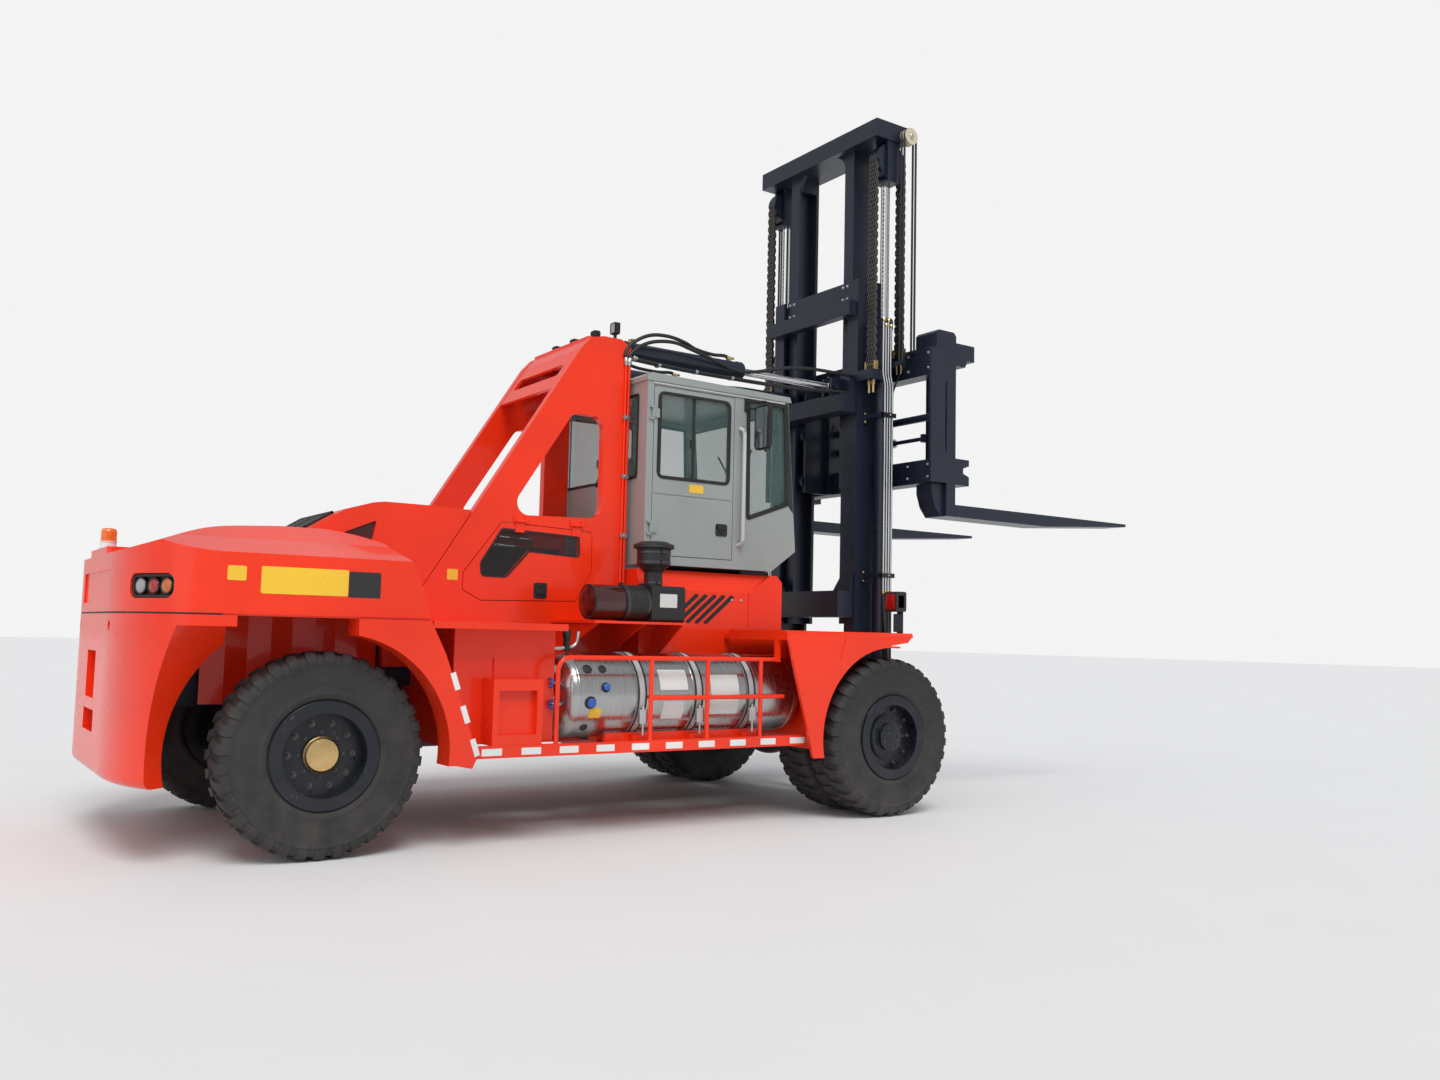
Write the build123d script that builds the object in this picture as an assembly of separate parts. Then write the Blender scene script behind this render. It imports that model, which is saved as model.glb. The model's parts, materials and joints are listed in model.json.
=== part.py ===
from build123d import *
import math
import os

os.makedirs("parts", exist_ok=True)

# Heavy forklift truck. All sizes in mm. Lengths along X are measured from the
# front axle line, forwards positive; save() then moves every piece so that the
# origin lies on the ground at the middle of the whole truck. Right is -Y.

# driving sizes
wheelbase = 4850
rear_overhang = 1225
fork_tip_x = 3950

tyre_d = 1380
tyre_w = 385
rim_d = 640
front_inner_y = 1144
front_outer_y = 1594
rear_wheel_y = 1322
kingpin_y = 1030

body_half = 1600
deck_half = 1650
fender_half = 1760
deck_z = 1600
rail_z = 640
rail_h = 85

cab_half = 850
cab_rear_x = -2040
cab_floor_z = 2140
cab_roof_z = 3800

portal_half = 600
portal_wall = 80
portal_front_x = -2070
portal_top_z = 4110

mast_rear_x = 500
mast_depth = 380
outer_top_z = 5160
inner_top_z = 6730
lift_x = 730
lift_y = 810
pivot_x = 350
pivot_z = 690

fork_top_z = 2880
fork_thick = 120
fork_width = 290
fork_y = 1145

# gaps: between moving pieces, round turning pins, and of panes in their frames
gap = 6
pin_gap = 0.5

wheel_z = tyre_d / 2
rear_axle_x = -wheelbase
rear_end_x = rear_axle_x - rear_overhang
shift_x = -(rear_end_x + fork_tip_x) / 2


def save(name, shape):
    export_step(Pos(shift_x, 0, 0) * shape, "parts/" + name + ".step")


def block(x0, x1, y0, y1, z0, z1):
    size = Box(x1 - x0, y1 - y0, z1 - z0)
    return Pos((x0 + x1) / 2, (y0 + y1) / 2, (z0 + z1) / 2) * size


def outline_face(points, r=0):
    face = make_face(Polyline(*points, close=True))
    return fillet(face.vertices(), r) if r else face


def side_cut(points, y0, y1, r=0):
    return extrude(Plane.XZ.offset(-y1) * outline_face(points, r), amount=y1 - y0)


def plan_cut(points, z0, z1):
    return extrude(Pos(0, 0, z0) * outline_face(points), amount=z1 - z0)


def end_cut(points, x0, x1):
    return extrude(Plane.YZ.offset(x0) * outline_face(points), amount=x1 - x0)


def rod(p, q, r):
    a = Vector(*p)
    d = Vector(*q) - a
    bar = Cylinder(r, d.length, align=(Align.CENTER, Align.CENTER, Align.MIN))
    return Plane(origin=a, z_dir=d) * bar


def cross_rod(x, y0, y1, z, r):
    return rod((x, y0, z), (x, y1, z), r)


def post(x, y, z0, z1, r):
    return rod((x, y, z0), (x, y, z1), r)


def flip(shape):
    return mirror(shape, about=Plane.XZ)


def pair(shape):
    return shape + flip(shape)


def inset(points, d, r=0):
    return offset(outline_face(points, r), amount=-d, kind=Kind.INTERSECTION)


def side_plate(face, y1, t):
    return extrude(Plane.XZ.offset(-y1) * face, amount=t)


def bent_bar(points, y, bend, r):
    """A round bar in an upright plane, bent where its points turn."""
    path = Plane.XZ.offset(-y) * FilletPolyline(*points, radius=bend)
    return sweep(Plane(origin=path @ 0, z_dir=path % 0) * Circle(r), path=path)


def turned(points, x, y):
    """A ring turned about the axle line: points are (radius, outward)."""
    ring = revolve(Plane.XZ * make_face(Polyline(*points, close=True)), axis=Axis.Z)
    facing = 90 if y < 0 else -90
    return Pos(x, y, wheel_z) * (Rot(facing, 0, 0) * ring)


# wheels: the tread pattern is left to the surface model
tyre_r = tyre_d / 2
rim_r = rim_d / 2
half_w = tyre_w / 2
flange_r = rim_r + 40
tyre_half = [(rim_r + pin_gap, half_w - 27), (flange_r + 4, half_w - 22), (flange_r + 30, half_w - 4),
             (520, half_w), (tyre_r - 45, half_w - 6), (tyre_r, half_w - 45)]
tyre_ring = tyre_half + [(r, -w) for r, w in reversed(tyre_half)]
rim_half = [(rim_r - 40, half_w), (flange_r, half_w), (flange_r, half_w - 20), (rim_r, half_w - 26)]
rim_ring = rim_half + [(r, -w) for r, w in reversed(rim_half)]
spindle_r = 90
front_hub_in = front_inner_y - 140
front_hub_out = front_outer_y + 110
stub_r = 60

for side, s in (("right", -1), ("left", 1)):
    tyres = turned(tyre_ring, 0, s * front_inner_y) + turned(tyre_ring, 0, s * front_outer_y)
    save("tyres_front_" + side, tyres)
    hub = turned(rim_ring, 0, s * front_inner_y) + turned(rim_ring, 0, s * front_outer_y)
    hub += cross_rod(0, s * (front_outer_y + 60), s * (front_outer_y + 95), wheel_z, rim_r - 20)
    hub += cross_rod(0, s * (front_inner_y + 60), s * (front_inner_y + 95), wheel_z, rim_r - 20)
    hub += cross_rod(0, s * front_hub_in, s * front_hub_out, wheel_z, 195)
    hub += cross_rod(0, s * front_hub_out, s * (front_hub_out + 50), wheel_z, 120)
    hub -= cross_rod(0, s * (front_hub_in - 10), s * (front_hub_in + 260), wheel_z, spindle_r + pin_gap)
    save("front_hub_" + side, hub)

    save("tyre_rear_" + side, turned(tyre_ring, rear_axle_x, s * rear_wheel_y))
    hub = turned(rim_ring, rear_axle_x, s * rear_wheel_y)
    hub += cross_rod(rear_axle_x, s * (rear_wheel_y + 40), s * (rear_wheel_y + 75), wheel_z, rim_r - 20)
    hub += cross_rod(rear_axle_x, s * (rear_wheel_y - 90), s * (rear_wheel_y + 120), wheel_z, 105)
    hub -= cross_rod(rear_axle_x, s * (rear_wheel_y - 100), s * (rear_wheel_y + 40), wheel_z, stub_r + pin_gap)
    save("rear_hub_" + side, hub)

    # steering knuckle: it turns on the kingpin and carries the stub axle
    knuckle = post(rear_axle_x, s * kingpin_y, wheel_z - 150, wheel_z + 150, 68)
    knuckle += cross_rod(rear_axle_x, s * kingpin_y, s * (rear_wheel_y - 96), wheel_z, 80)
    knuckle += cross_rod(rear_axle_x, s * kingpin_y, s * (rear_wheel_y + 30), wheel_z, stub_r)
    arm = block(rear_axle_x + 30, rear_axle_x + 300, -35, 35, wheel_z - 140, wheel_z - 90)
    knuckle += Pos(0, s * kingpin_y, 0) * arm
    knuckle -= post(rear_axle_x, s * kingpin_y, wheel_z - 200, wheel_z + 200, 35 + pin_gap)
    save("knuckle_" + side, knuckle)

# drive axle with spindles that run into the front hubs
axle_half = front_hub_in - gap
axle = cross_rod(0, -axle_half, axle_half, wheel_z, 165)
axle += Pos(0, 0, wheel_z) * Sphere(300)
axle += cross_rod(0, -axle_half - 240, axle_half + 240, wheel_z, spindle_r)
axle_pad_z = wheel_z + 330
axle += pair(block(-200, 200, 480, 760, wheel_z + 80, axle_pad_z))
save("drive_axle", axle)

# steering axle: a beam with a fork at each end that holds the kingpin, slim
# enough in plan for the steering arms to swing past it
beam_end = kingpin_y - 185
beam_half = 105
steer = block(rear_axle_x - beam_half, rear_axle_x + beam_half, -beam_end, beam_end, wheel_z - 155, wheel_z + 155)
for z in (wheel_z - 215, wheel_z + 155):
    steer += block(rear_axle_x - 85, rear_axle_x + 85, -(kingpin_y + 65), kingpin_y + 65, z, z + 60)
steer += pair(post(rear_axle_x, kingpin_y, wheel_z - 215, wheel_z + 215, 35))
steer_pad_z = wheel_z + 270
steer += block(rear_axle_x - 300, rear_axle_x + 300, -90, 90, wheel_z + 150, steer_pad_z)
save("steer_axle", steer)

# chassis: two deep side rails with cross beams, open over both axles
frame_half = 420
frame_low = 620
frame_top = 1250
frame_rear_x = rear_axle_x - 870
frame_drop_x = rear_axle_x + 650
frame_front_x = 250
high_z = 960
rail = [(frame_rear_x, high_z), (rear_axle_x + 350, high_z), (frame_drop_x, frame_low), (-420, frame_low),
        (-260, axle_pad_z), (frame_front_x, axle_pad_z), (frame_front_x, frame_top), (frame_rear_x, frame_top)]
frame = pair(side_cut(rail, frame_half - 60, frame_half))
CROSS_BEAMS = [(frame_rear_x, high_z), (frame_drop_x + 50, 700), (-2600, 700), (-1200, 700), (-420, axle_pad_z),
               (170, axle_pad_z)]
for x, z in CROSS_BEAMS:
    frame += block(x, x + 80, -frame_half, frame_half, z, frame_top)
frame += block(frame_rear_x, -340, -frame_half, frame_half, frame_top - 20, frame_top)
frame += block(rear_axle_x - 250, rear_axle_x + 250, -120, 120, steer_pad_z, frame_top)
frame += pair(block(-200, 200, frame_half - 60, 760, axle_pad_z, frame_top))
# lugs for the mast pivot pins
lug_y0 = 330
lug_y1 = 400
lug = [(170, axle_pad_z + 20), (frame_front_x, axle_pad_z + 20), (frame_front_x + 30, 800),
       (pivot_x + 80, pivot_z + 60), (pivot_x + 80, pivot_z - 60), (pivot_x - 60, pivot_z - 80), (170, 860)]
lugs = side_cut(lug, lug_y0, lug_y1) - cross_rod(pivot_x, lug_y0 - 5, lug_y1 + 5, pivot_z, 45 + pin_gap)
frame += pair(lugs)
save("chassis_frame", frame)

engine_low = frame_top
save("engine_block", block(-3960, -2560, -300, 300, engine_low, 2250))

# tail: flat across its middle, with an elliptical corner at each side
corner_len = 515
corner_half = 1000
flat_half = body_half - corner_half
tail_side_x = rear_end_x + corner_len


def tail_solid(front_x, d, z0, z1):
    """The plan of the tail, drawn in by d all round, as a solid from z0 to z1."""
    long_r = corner_half - d
    left = EllipticalCenterArc((tail_side_x, flat_half), corner_len - d, long_r, 90, arc_size=90)
    right = EllipticalCenterArc((tail_side_x, -flat_half), corner_len - d, long_r, 180, arc_size=90)
    edge_y = body_half - d
    rest = Polyline(left @ 1, right @ 0) + Polyline(right @ 1, (front_x, -edge_y), (front_x, edge_y), left @ 0)
    face = make_face(Curve() + [left, right, rest])
    return extrude(Pos(0, 0, z0) * face, amount=z1 - z0)


def tail_point(angle):
    a = math.radians(angle)
    return tail_side_x - corner_len * math.cos(a), flat_half + corner_half * math.sin(a)


# counterweight, with flared arches round the steered wheels
weight_low = 500
weight_front_x = rear_axle_x - 620
arch_z = 1530
arch_in = 950
arch_flare = 600
flare_y = 1240
weight = tail_solid(weight_front_x, 0, weight_low, deck_z)
weight = fillet(weight.edges().group_by(Axis.Z)[0], 55)
low = block(rear_end_x - 10, -4000, -2000, 2000, 0, arch_z)
for s in (-1, 1):
    drum = cross_rod(rear_axle_x, s * frame_half, s * flare_y, wheel_z, arch_in)
    cone = Cone(arch_in, arch_in + arch_flare, 460, align=(Align.CENTER, Align.CENTER, Align.MIN))
    cone = Pos(rear_axle_x, s * flare_y, wheel_z) * (Rot(-90 * s, 0, 0) * cone)
    weight -= (drum + cone) & low
weight -= block(frame_rear_x, weight_front_x + 10, -frame_half, frame_half, weight_low - 10, frame_top)
# towing jaw with its upright pin bore, open below for water and dirt, and a
# recess over the jaw for the pin's handle
jaw_x = rear_end_x + 110
jaw_r = 26
jaw_half = 240
jaw_low = 780
jaw_top = 930
recess_low = 1010
recess_half = 200
weight -= block(rear_end_x - 10, rear_end_x + 250, -jaw_half, jaw_half, jaw_low, jaw_top)
weight -= block(rear_end_x - 10, rear_end_x + 200, -recess_half, recess_half, recess_low, 1340)
weight -= post(jaw_x, 0, weight_low - 5, recess_low + 5, jaw_r)
# lifting holes, one on each side of the recess
weight -= pair(rod((rear_end_x - 20, 690, 1520), (rear_end_x + 110, 690, 1520), 33))
save("counterweight", weight)

# upper rear body above the seam: a closed casting with a shoulder and a crown
band_top = 2000
band_front_x = rear_axle_x + 660
shoulder_y = 1200
shoulder_z = 2118
crown_y = 850
crown_z = 2246
seam = 12
hood_half = 512
bay_half = hood_half + gap
hood_back_x = rear_axle_x + 60
band = tail_solid(band_front_x + 10, 0, deck_z, crown_z + 5)
over = body_half + 5
section = [(-over, deck_z - 5), (-over, band_top), (-shoulder_y, shoulder_z), (-crown_y, crown_z), (crown_y, crown_z),
           (shoulder_y, shoulder_z), (over, band_top), (over, deck_z - 5)]
band &= end_cut(section, rear_end_x - 10, band_front_x + 20)
# the crown's line from the tail to the front of the band: (behind or before the rear axle, height)
CROWN = [(-rear_overhang - 5, 2008), (-990, 2094), (-685, 2196), (-410, 2230), (80, 2246), (240, 2226), (470, 2145)]
top_line = Spline(*[(rear_axle_x + x, z) for x, z in CROWN])
front_line = Polyline(top_line @ 1, (rear_axle_x + 515, 1980), (rear_axle_x + 595, 1810), (band_front_x, deck_z - 5),
                      (rear_end_x - 5, deck_z - 5), top_line @ 0)
profile = make_face(Curve() + [top_line, front_line])
band &= extrude(Plane.XZ.offset(-over) * profile, amount=2 * over)
band -= block(hood_back_x - gap, band_front_x + 20, -bay_half, bay_half, deck_z - 10, crown_z + 10)
# seam groove over the counterweight
seam_low = deck_z - 1
seam_top = deck_z + seam
band -= tail_solid(band_front_x + 30, -20, seam_low, seam_top) - tail_solid(band_front_x + 30, seam, seam_low, seam_top)
# sunk panel across the back, and the raised pad of the beacon
band -= block(rear_end_x - 10, rear_end_x + 14, -flat_half, flat_half, 1680, 1895)
pad_z = 2062
pad = block(rear_end_x + 4, rear_end_x + 150, -400, 400, 1980, pad_z)
band += chamfer(pad.edges().filter_by(Axis.Z), 25)
# lamp pockets let into the corners
p = tail_point(28)
q = tail_point(59)
mid = ((p[0] + q[0]) / 2, (p[1] + q[1]) / 2, 1777)
length = math.hypot(q[0] - p[0], q[1] - p[1])
along = ((q[0] - p[0]) / length, (q[1] - p[1]) / length, 0)
lamp_plane = Plane(origin=mid, x_dir=along, z_dir=(-along[1], along[0], 0))
pocket = extrude(lamp_plane.offset(-45) * RectangleRounded(length, 158, 60), amount=250)
band -= pair(pocket)
# cheeks beside the engine hood, running forward to the portal's slope
cheek = [(hood_back_x, crown_z - 40), (hood_back_x + 10, 2262), (rear_axle_x + 330, 2425), (rear_axle_x + 570, 2500),
         (rear_axle_x + 640, 2510), (-3820, 2510), (-3500, 2492), (-3758, 2080), (-3905, 1852), (-3905, frame_top),
         (rear_axle_x + 670, frame_top), (rear_axle_x + 640, 1980)]
cheeks = side_cut(cheek, bay_half, portal_half)
mesh_hole = [(rear_axle_x + 313, 2245), (rear_axle_x + 582, 2363), (rear_axle_x + 544, 2169)]
cheeks -= side_cut(mesh_hole, portal_half - 24, portal_half + 5, 12)
band += pair(cheeks)
# folded inner walls of the steered wheels' arches
FOLDS = 8
wall_y = 535
x0 = weight_front_x + 8
fold = (band_front_x - 20 - x0) / FOLDS
zigzag = [(x0 + i * fold, wall_y + 28 * (i % 2)) for i in range(FOLDS + 1)]
walls = plan_cut(zigzag + [(x, y - 14) for x, y in reversed(zigzag)], high_z + 20, deck_z + 5)
band += pair(walls)
save("rear_body", band)

# portal behind the cab: it carries the tilt cylinders, and its side plates run
# down past the engine bay and hold the service doors
wall_in = portal_half - portal_wall
plate = [(-3900, frame_top), (-3900, 1850), (-3750, 2080), (-2560, 3980), (-2470, 4080), (-2350, portal_top_z),
         (-2170, portal_top_z), (portal_front_x, 4050), (portal_front_x, frame_top)]
opening = [(-3200, 2490), (-2320, 2520), (-2320, 3400), (-2620, 3400)]
door_line = [(-3240, 2430), (-2400, 2400), (-2400, 2060), (-2540, 1800), (-3400, 1780), (-3560, 1860), (-3560, 2000)]
door_bend = 34
wall = side_cut(plate, wall_in, portal_half)
wall -= side_cut(opening, wall_in - 5, portal_half + 5, 105)
wall -= side_cut(door_line, wall_in - 5, portal_half + 5, door_bend)
portal = pair(wall)
tilt_y = 470
tilt_z = 4050
tilt_pin_x = -2220
tilt_pin_r = 32
eye_half = 38
lug_in = tilt_y - eye_half - 37
top_bar_x = -2300
portal += block(-2460, top_bar_x, -wall_in, wall_in, 4010, portal_top_z)
portal += block(top_bar_x, tilt_pin_x + 60, -lug_in - 30, lug_in + 30, 4070, portal_top_z)
portal += cross_rod(-2330, -wall_in, wall_in, 3800, 60)
# sloping cover between the braces, with a long vent slot across it
cover = [(-2788, 3610), (-2557, 3976), (-2469, 4075), (-2440, 4075), (-2440, 4030), (-2535, 3965), (-2766, 3597)]
portal += side_cut(cover, -wall_in, wall_in)
slope = Plane(origin=(-2675, 0, 3796), x_dir=(0, 1, 0), z_dir=(-0.848, 0, 0.53))
portal -= extrude(slope.offset(-40) * RectangleRounded(2 * wall_in - 160, 130, 40), amount=100)
portal += block(-2180, -2120, -wall_in, wall_in, frame_top, 2100)
portal += pair(block(-3900, portal_front_x, frame_half, wall_in, frame_top, frame_top + 40))
portal += pair(block(top_bar_x, tilt_pin_x + 60, lug_in, lug_in + 30, 3980, portal_top_z))
portal += pair(cross_rod(tilt_pin_x, lug_in, wall_in, tilt_z, tilt_pin_r))
hood_front_x = -2520
hood_pin_x = hood_front_x + 20
hood_pin_z = 2478
portal += cross_rod(hood_pin_x, -wall_in, wall_in, hood_pin_z, 8)
# service door hinge pins along the top edge of each opening
door_t = 25
hinge_y = portal_half + 14
hinge_z = 2440
HINGE_X = [-3080, -2560]
for x in HINGE_X:
    portal += pair(rod((x - 60, hinge_y, hinge_z), (x + 60, hinge_y, hinge_z), 7))
    for x0 in (x - 60, x + 42):
        portal += pair(block(x0, x0 + 18, portal_half, portal_half + 20, hinge_z - 7, hinge_z + 40))
save("portal", portal)

panel = flip(side_plate(inset(door_line, gap, door_bend), -portal_half + door_t, door_t))
grille = [(-3230, 2360), (-2540, 2335), (-2530, 2190), (-2990, 2210), (-3190, 1990), (-3390, 1990), (-3400, 2080)]
panel -= side_cut(grille, portal_half - 40, portal_half + 20, 24)
for x in HINGE_X:
    knuckle = rod((x - 40, hinge_y, hinge_z), (x + 40, hinge_y, hinge_z), 14)
    knuckle += block(x - 40, x + 40, portal_half, portal_half + 12, hinge_z - 90, hinge_z)
    panel += knuckle - rod((x - 50, hinge_y, hinge_z), (x + 50, hinge_y, hinge_z), 7 + pin_gap)
save("service_door_left", panel)
save("service_door_right", flip(panel))

# engine hood: a lid over the bay, hinged at its front edge
hood_t = 30
hood_line = [(hood_back_x, 2256), (hood_back_x + 10, 2262), (rear_axle_x + 330, 2427), (rear_axle_x + 570, 2503),
             (rear_axle_x + 640, 2514), (-3820, 2515), (hood_front_x, 2498)]
under = [(x, z - hood_t) for x, z in reversed(hood_line[1:])] + [(hood_back_x, 2226)]
hood = side_cut(hood_line + under, -hood_half, hood_half)
skirt = [(x, z - 5) for x, z in hood_line[1:-1]]
skirt += [(x, z - 95) for x, z in reversed(skirt)]
hood += pair(side_cut(skirt, hood_half - 25, hood_half))
hood += block(hood_front_x - 10, hood_pin_x, -300, 300, hood_pin_z - 8, hood_pin_z + 8)
hood += cross_rod(hood_pin_x, -300, 300, hood_pin_z, 14)
save("engine_hood", hood - cross_rod(hood_pin_x, -310, 310, hood_pin_z, 8 + pin_gap))

# cab base between the portal and the mast: louvred sides under a sloping strip,
# and a full-width nose
base_rear_x = portal_front_x + gap
base_seam_x = -920
base_front_x = -540
base_low = 1300
base_top = cab_floor_z - 40
base_t = 30
strip_z = 1930
base_in = cab_half - base_t
base_end = [(-cab_half, base_low), (-cab_half, strip_z), (70 - cab_half, base_top), (cab_half - 70, base_top),
            (cab_half, strip_z), (cab_half, base_low)]
base = end_cut(base_end, base_rear_x, -640)
nose_side = [(base_seam_x, base_low), (base_seam_x, strip_z), (-668, base_top), (-600, base_top),
             (base_front_x, base_top - 60), (base_front_x, base_low)]
base += side_cut(nose_side, -cab_half, cab_half)
hollow_top = base_top - base_t
hollow = [(-base_in, base_low - 5), (-base_in, strip_z - 12), (72 - base_in, hollow_top), (base_in - 72, hollow_top),
          (base_in, strip_z - 12), (base_in, base_low - 5)]
base -= end_cut(hollow, base_rear_x + base_t, -640)
base -= block(-640 - 5, base_front_x - base_t, -base_in, base_in, base_low - 5, base_top - 100)
base += pair(block(base_rear_x, base_front_x, frame_half, base_in, base_low, base_low + base_t))
base += pair(block(base_rear_x, base_front_x, frame_half - 60, frame_half, frame_top, base_low + base_t))
# slanting louvres, sunk into the sides
for i in range(5):
    x = -1400 - 95 * i
    slot = [(x, 1660), (x + 18, 1655), (x + 308, 1890), (x + 290, 1896)]
    base -= pair(side_cut(slot, cab_half - 12, cab_half + 5))
# seam of the nose
base -= pair(block(base_seam_x - 4, base_seam_x + 4, cab_half - 8, cab_half + 5, deck_z + 10, strip_z))
# rubber mounts under the cab floor
for x in (-1850, -850):
    base += pair(post(x, 600, base_top, cab_floor_z, 60))
save("cab_base", base)

# cab: plate walls with their windows cut, floor and sloping front
cab_t = 40
cab_eave = cab_roof_z - 70
nose_x = -392
nose_z = 2336
front_low_x = -668
front_top_x = -500
inner_y = cab_half - cab_t
outline = [(cab_rear_x, cab_floor_z), (front_low_x, cab_floor_z), (nose_x, nose_z), (front_top_x, cab_eave),
           (cab_rear_x, cab_eave)]


def screen_x(z, back=0):
    return nose_x + (front_top_x - nose_x) * (z - nose_z) / (cab_eave - nose_z) - back


pillar_x = -1114
quarter = [(pillar_x + 160, 2603), (screen_x(2768, 70), 2768), (screen_x(3690, 34), 3690), (pillar_x + 143, 3700)]
window_bend = 22
door_rear_x = cab_rear_x + 66
sill_z = cab_floor_z + 76
head_z = 3696
side = side_cut(outline, inner_y, cab_half)
side -= side_cut(quarter, inner_y - 5, cab_half + 5, window_bend)
side -= block(door_rear_x, pillar_x, inner_y - 5, cab_half + 5, sill_z, head_z)
cab = pair(side)
cab += block(cab_rear_x, front_low_x, -inner_y, inner_y, cab_floor_z, cab_floor_z + cab_t)
back_hole_y = inner_y - 110
BACK_HOLE_Z = (2900, 3620)
back = block(cab_rear_x, cab_rear_x + cab_t, -inner_y, inner_y, cab_floor_z, cab_eave)
cab += back - block(cab_rear_x - 5, cab_rear_x + cab_t + 5, -back_hole_y, back_hole_y, *BACK_HOLE_Z)
nose = [(front_low_x, cab_floor_z), (nose_x, nose_z), (nose_x - cab_t, nose_z + 15), (front_low_x - 20, cab_floor_z + cab_t)]
cab += side_cut(nose, -inner_y, inner_y)
front = [(screen_x(nose_z), nose_z), (screen_x(cab_eave), cab_eave), (screen_x(cab_eave, cab_t), cab_eave),
         (screen_x(nose_z, cab_t), nose_z)]
hole_y = inner_y - 70
SCREEN_Z = (2470, 3650)
hole = [(screen_x(SCREEN_Z[0], -50), SCREEN_Z[0]), (screen_x(SCREEN_Z[1], -50), SCREEN_Z[1]),
        (screen_x(SCREEN_Z[1], 90), SCREEN_Z[1]), (screen_x(SCREEN_Z[0], 90), SCREEN_Z[0])]
cab += side_cut(front, -inner_y, inner_y) - side_cut(hole, -hole_y, hole_y)
cab_hinge_x = door_rear_x - 6
CAB_HINGE_Z = [2450, 3450]
for z in CAB_HINGE_Z:
    cab += pair(post(cab_hinge_x, cab_half + 14, z - 60, z + 60, 7))
    for z0 in (z - 60, z + 42):
        cab += pair(block(cab_hinge_x - 40, cab_hinge_x + 7, cab_half, cab_half + 20, z0, z0 + 18))
# long grab bars on the front door pillars
bar_x = pillar_x + 78
bar_y = cab_half + 52
cab += pair(post(bar_x, bar_y, 2370, 3400, 17))
for z in (2400, 3370):
    cab += pair(cross_rod(bar_x, cab_half - 5, bar_y, z, 12))
save("cab_shell", cab)

roof = [(cab_rear_x - 10, cab_eave), (front_top_x + 30, cab_eave), (front_top_x + 10, cab_roof_z - 20),
        (cab_rear_x + 30, cab_roof_z), (cab_rear_x - 10, cab_roof_z - 30)]
save("cab_roof", side_cut(roof, -cab_half - 10, cab_half + 10))

# panes sit in the middle of the wall, half a millimetre short of the frame
pane_t = 8
pane_in = 16
low_z = SCREEN_Z[0] + pin_gap
high_pane_z = SCREEN_Z[1] - pin_gap
pane = [(screen_x(low_z, pane_in), low_z), (screen_x(high_pane_z, pane_in), high_pane_z),
        (screen_x(high_pane_z, pane_in + pane_t), high_pane_z), (screen_x(low_z, pane_in + pane_t), low_z)]
save("windscreen", side_cut(pane, -hole_y + pin_gap, hole_y - pin_gap))
back_pane = block(cab_rear_x + pane_in, cab_rear_x + pane_in + pane_t, -back_hole_y + pin_gap, back_hole_y - pin_gap,
                  BACK_HOLE_Z[0] + pin_gap, BACK_HOLE_Z[1] - pin_gap)
quarter_pane = flip(side_plate(inset(quarter, pin_gap, window_bend), -cab_half + pane_in + pane_t, pane_t))
save("cab_windows", pair(quarter_pane) + back_pane)

door_x0 = door_rear_x + gap
door_x1 = pillar_x - gap
pane_x0 = door_x0 + 52
pane_x1 = door_x1 - 52
pane_z0 = 2900
pane_z1 = 3635
pane_bend = 55
door_hole = [(pane_x0, pane_z0), (pane_x1, pane_z0), (pane_x1, pane_z1), (pane_x0, pane_z1)]
leaf = block(door_x0, door_x1, inner_y, cab_half, sill_z + gap, head_z - gap)
leaf -= side_cut(door_hole, inner_y - 5, cab_half + 5, pane_bend)
# pressed groove under the window
leaf -= block(door_x0 + 20, door_x1 - 20, cab_half - 6, cab_half + 5, 2746, 2756)
for z in CAB_HINGE_Z:
    knuckle = post(cab_hinge_x, cab_half + 14, z - 40, z + 40, 14)
    knuckle += block(cab_hinge_x, cab_hinge_x + 60, cab_half, cab_half + 12, z - 40, z + 40)
    leaf += knuckle - post(cab_hinge_x, cab_half + 14, z - 50, z + 50, 7 + pin_gap)
glass = flip(side_plate(inset(door_hole, pin_gap, pane_bend), -cab_half + pane_in + pane_t, pane_t))
save("cab_door_left", leaf)
save("cab_door_right", flip(leaf))
save("door_glass_left", glass)
save("door_glass_right", flip(glass))

# mirrors on bent brackets at the cab's front corners
mirror_x = -930
mirror_y = cab_half + 190
head = fillet(Box(36, 215, 400).edges().filter_by(Axis.X), 45)
mirrors = Pos(mirror_x, mirror_y, 3420) * head
mirrors += post(mirror_x + 26, mirror_y, 3200, 3660, 9) + block(mirror_x, mirror_x + 26, mirror_y - 20, mirror_y + 20, 3380, 3460)
for z in (3600, 3660):
    mirrors += rod((mirror_x + 26, mirror_y, z), (-985, cab_half + 8, z + 10), 9)
mirrors += block(-1010, -960, cab_half, cab_half + 14, 3580, 3700)
save("mirrors", pair(mirrors))

# driver's place
seat_z = 2520
floor_z = cab_floor_z + cab_t
cushions = block(-1720, -1220, -250, 250, seat_z + pin_gap, seat_z + 120)
cushions += side_cut([(-1720, seat_z + 80), (-1620, seat_z + 80), (-1760, 3250), (-1850, 3250)], -230, 230)
save("seat_cushions", cushions)
pedestal = block(-1650, -1290, -190, 190, floor_z, seat_z)
pedestal += block(-1640, -1180, -560, -380, floor_z, 2700) + block(-1500, -1400, -380, -190, 2300, 2400)
save("seat_base", pedestal)
desk = [(-840, floor_z), (-700, floor_z), (-640, 2300), (-640, 2520), (-730, 2760), (-840, 2740)]
column = rod((-800, 0, floor_z + 60), (-950, 0, 2850), 45) + side_cut(desk, -330, 330)
hand = Torus(200, 18) + Box(400, 30, 14) + Cylinder(60, 30)
save("steering_console", column + Pos(-960, 0, 2870) * (Rot(0, -25, 0) * hand))

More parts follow.
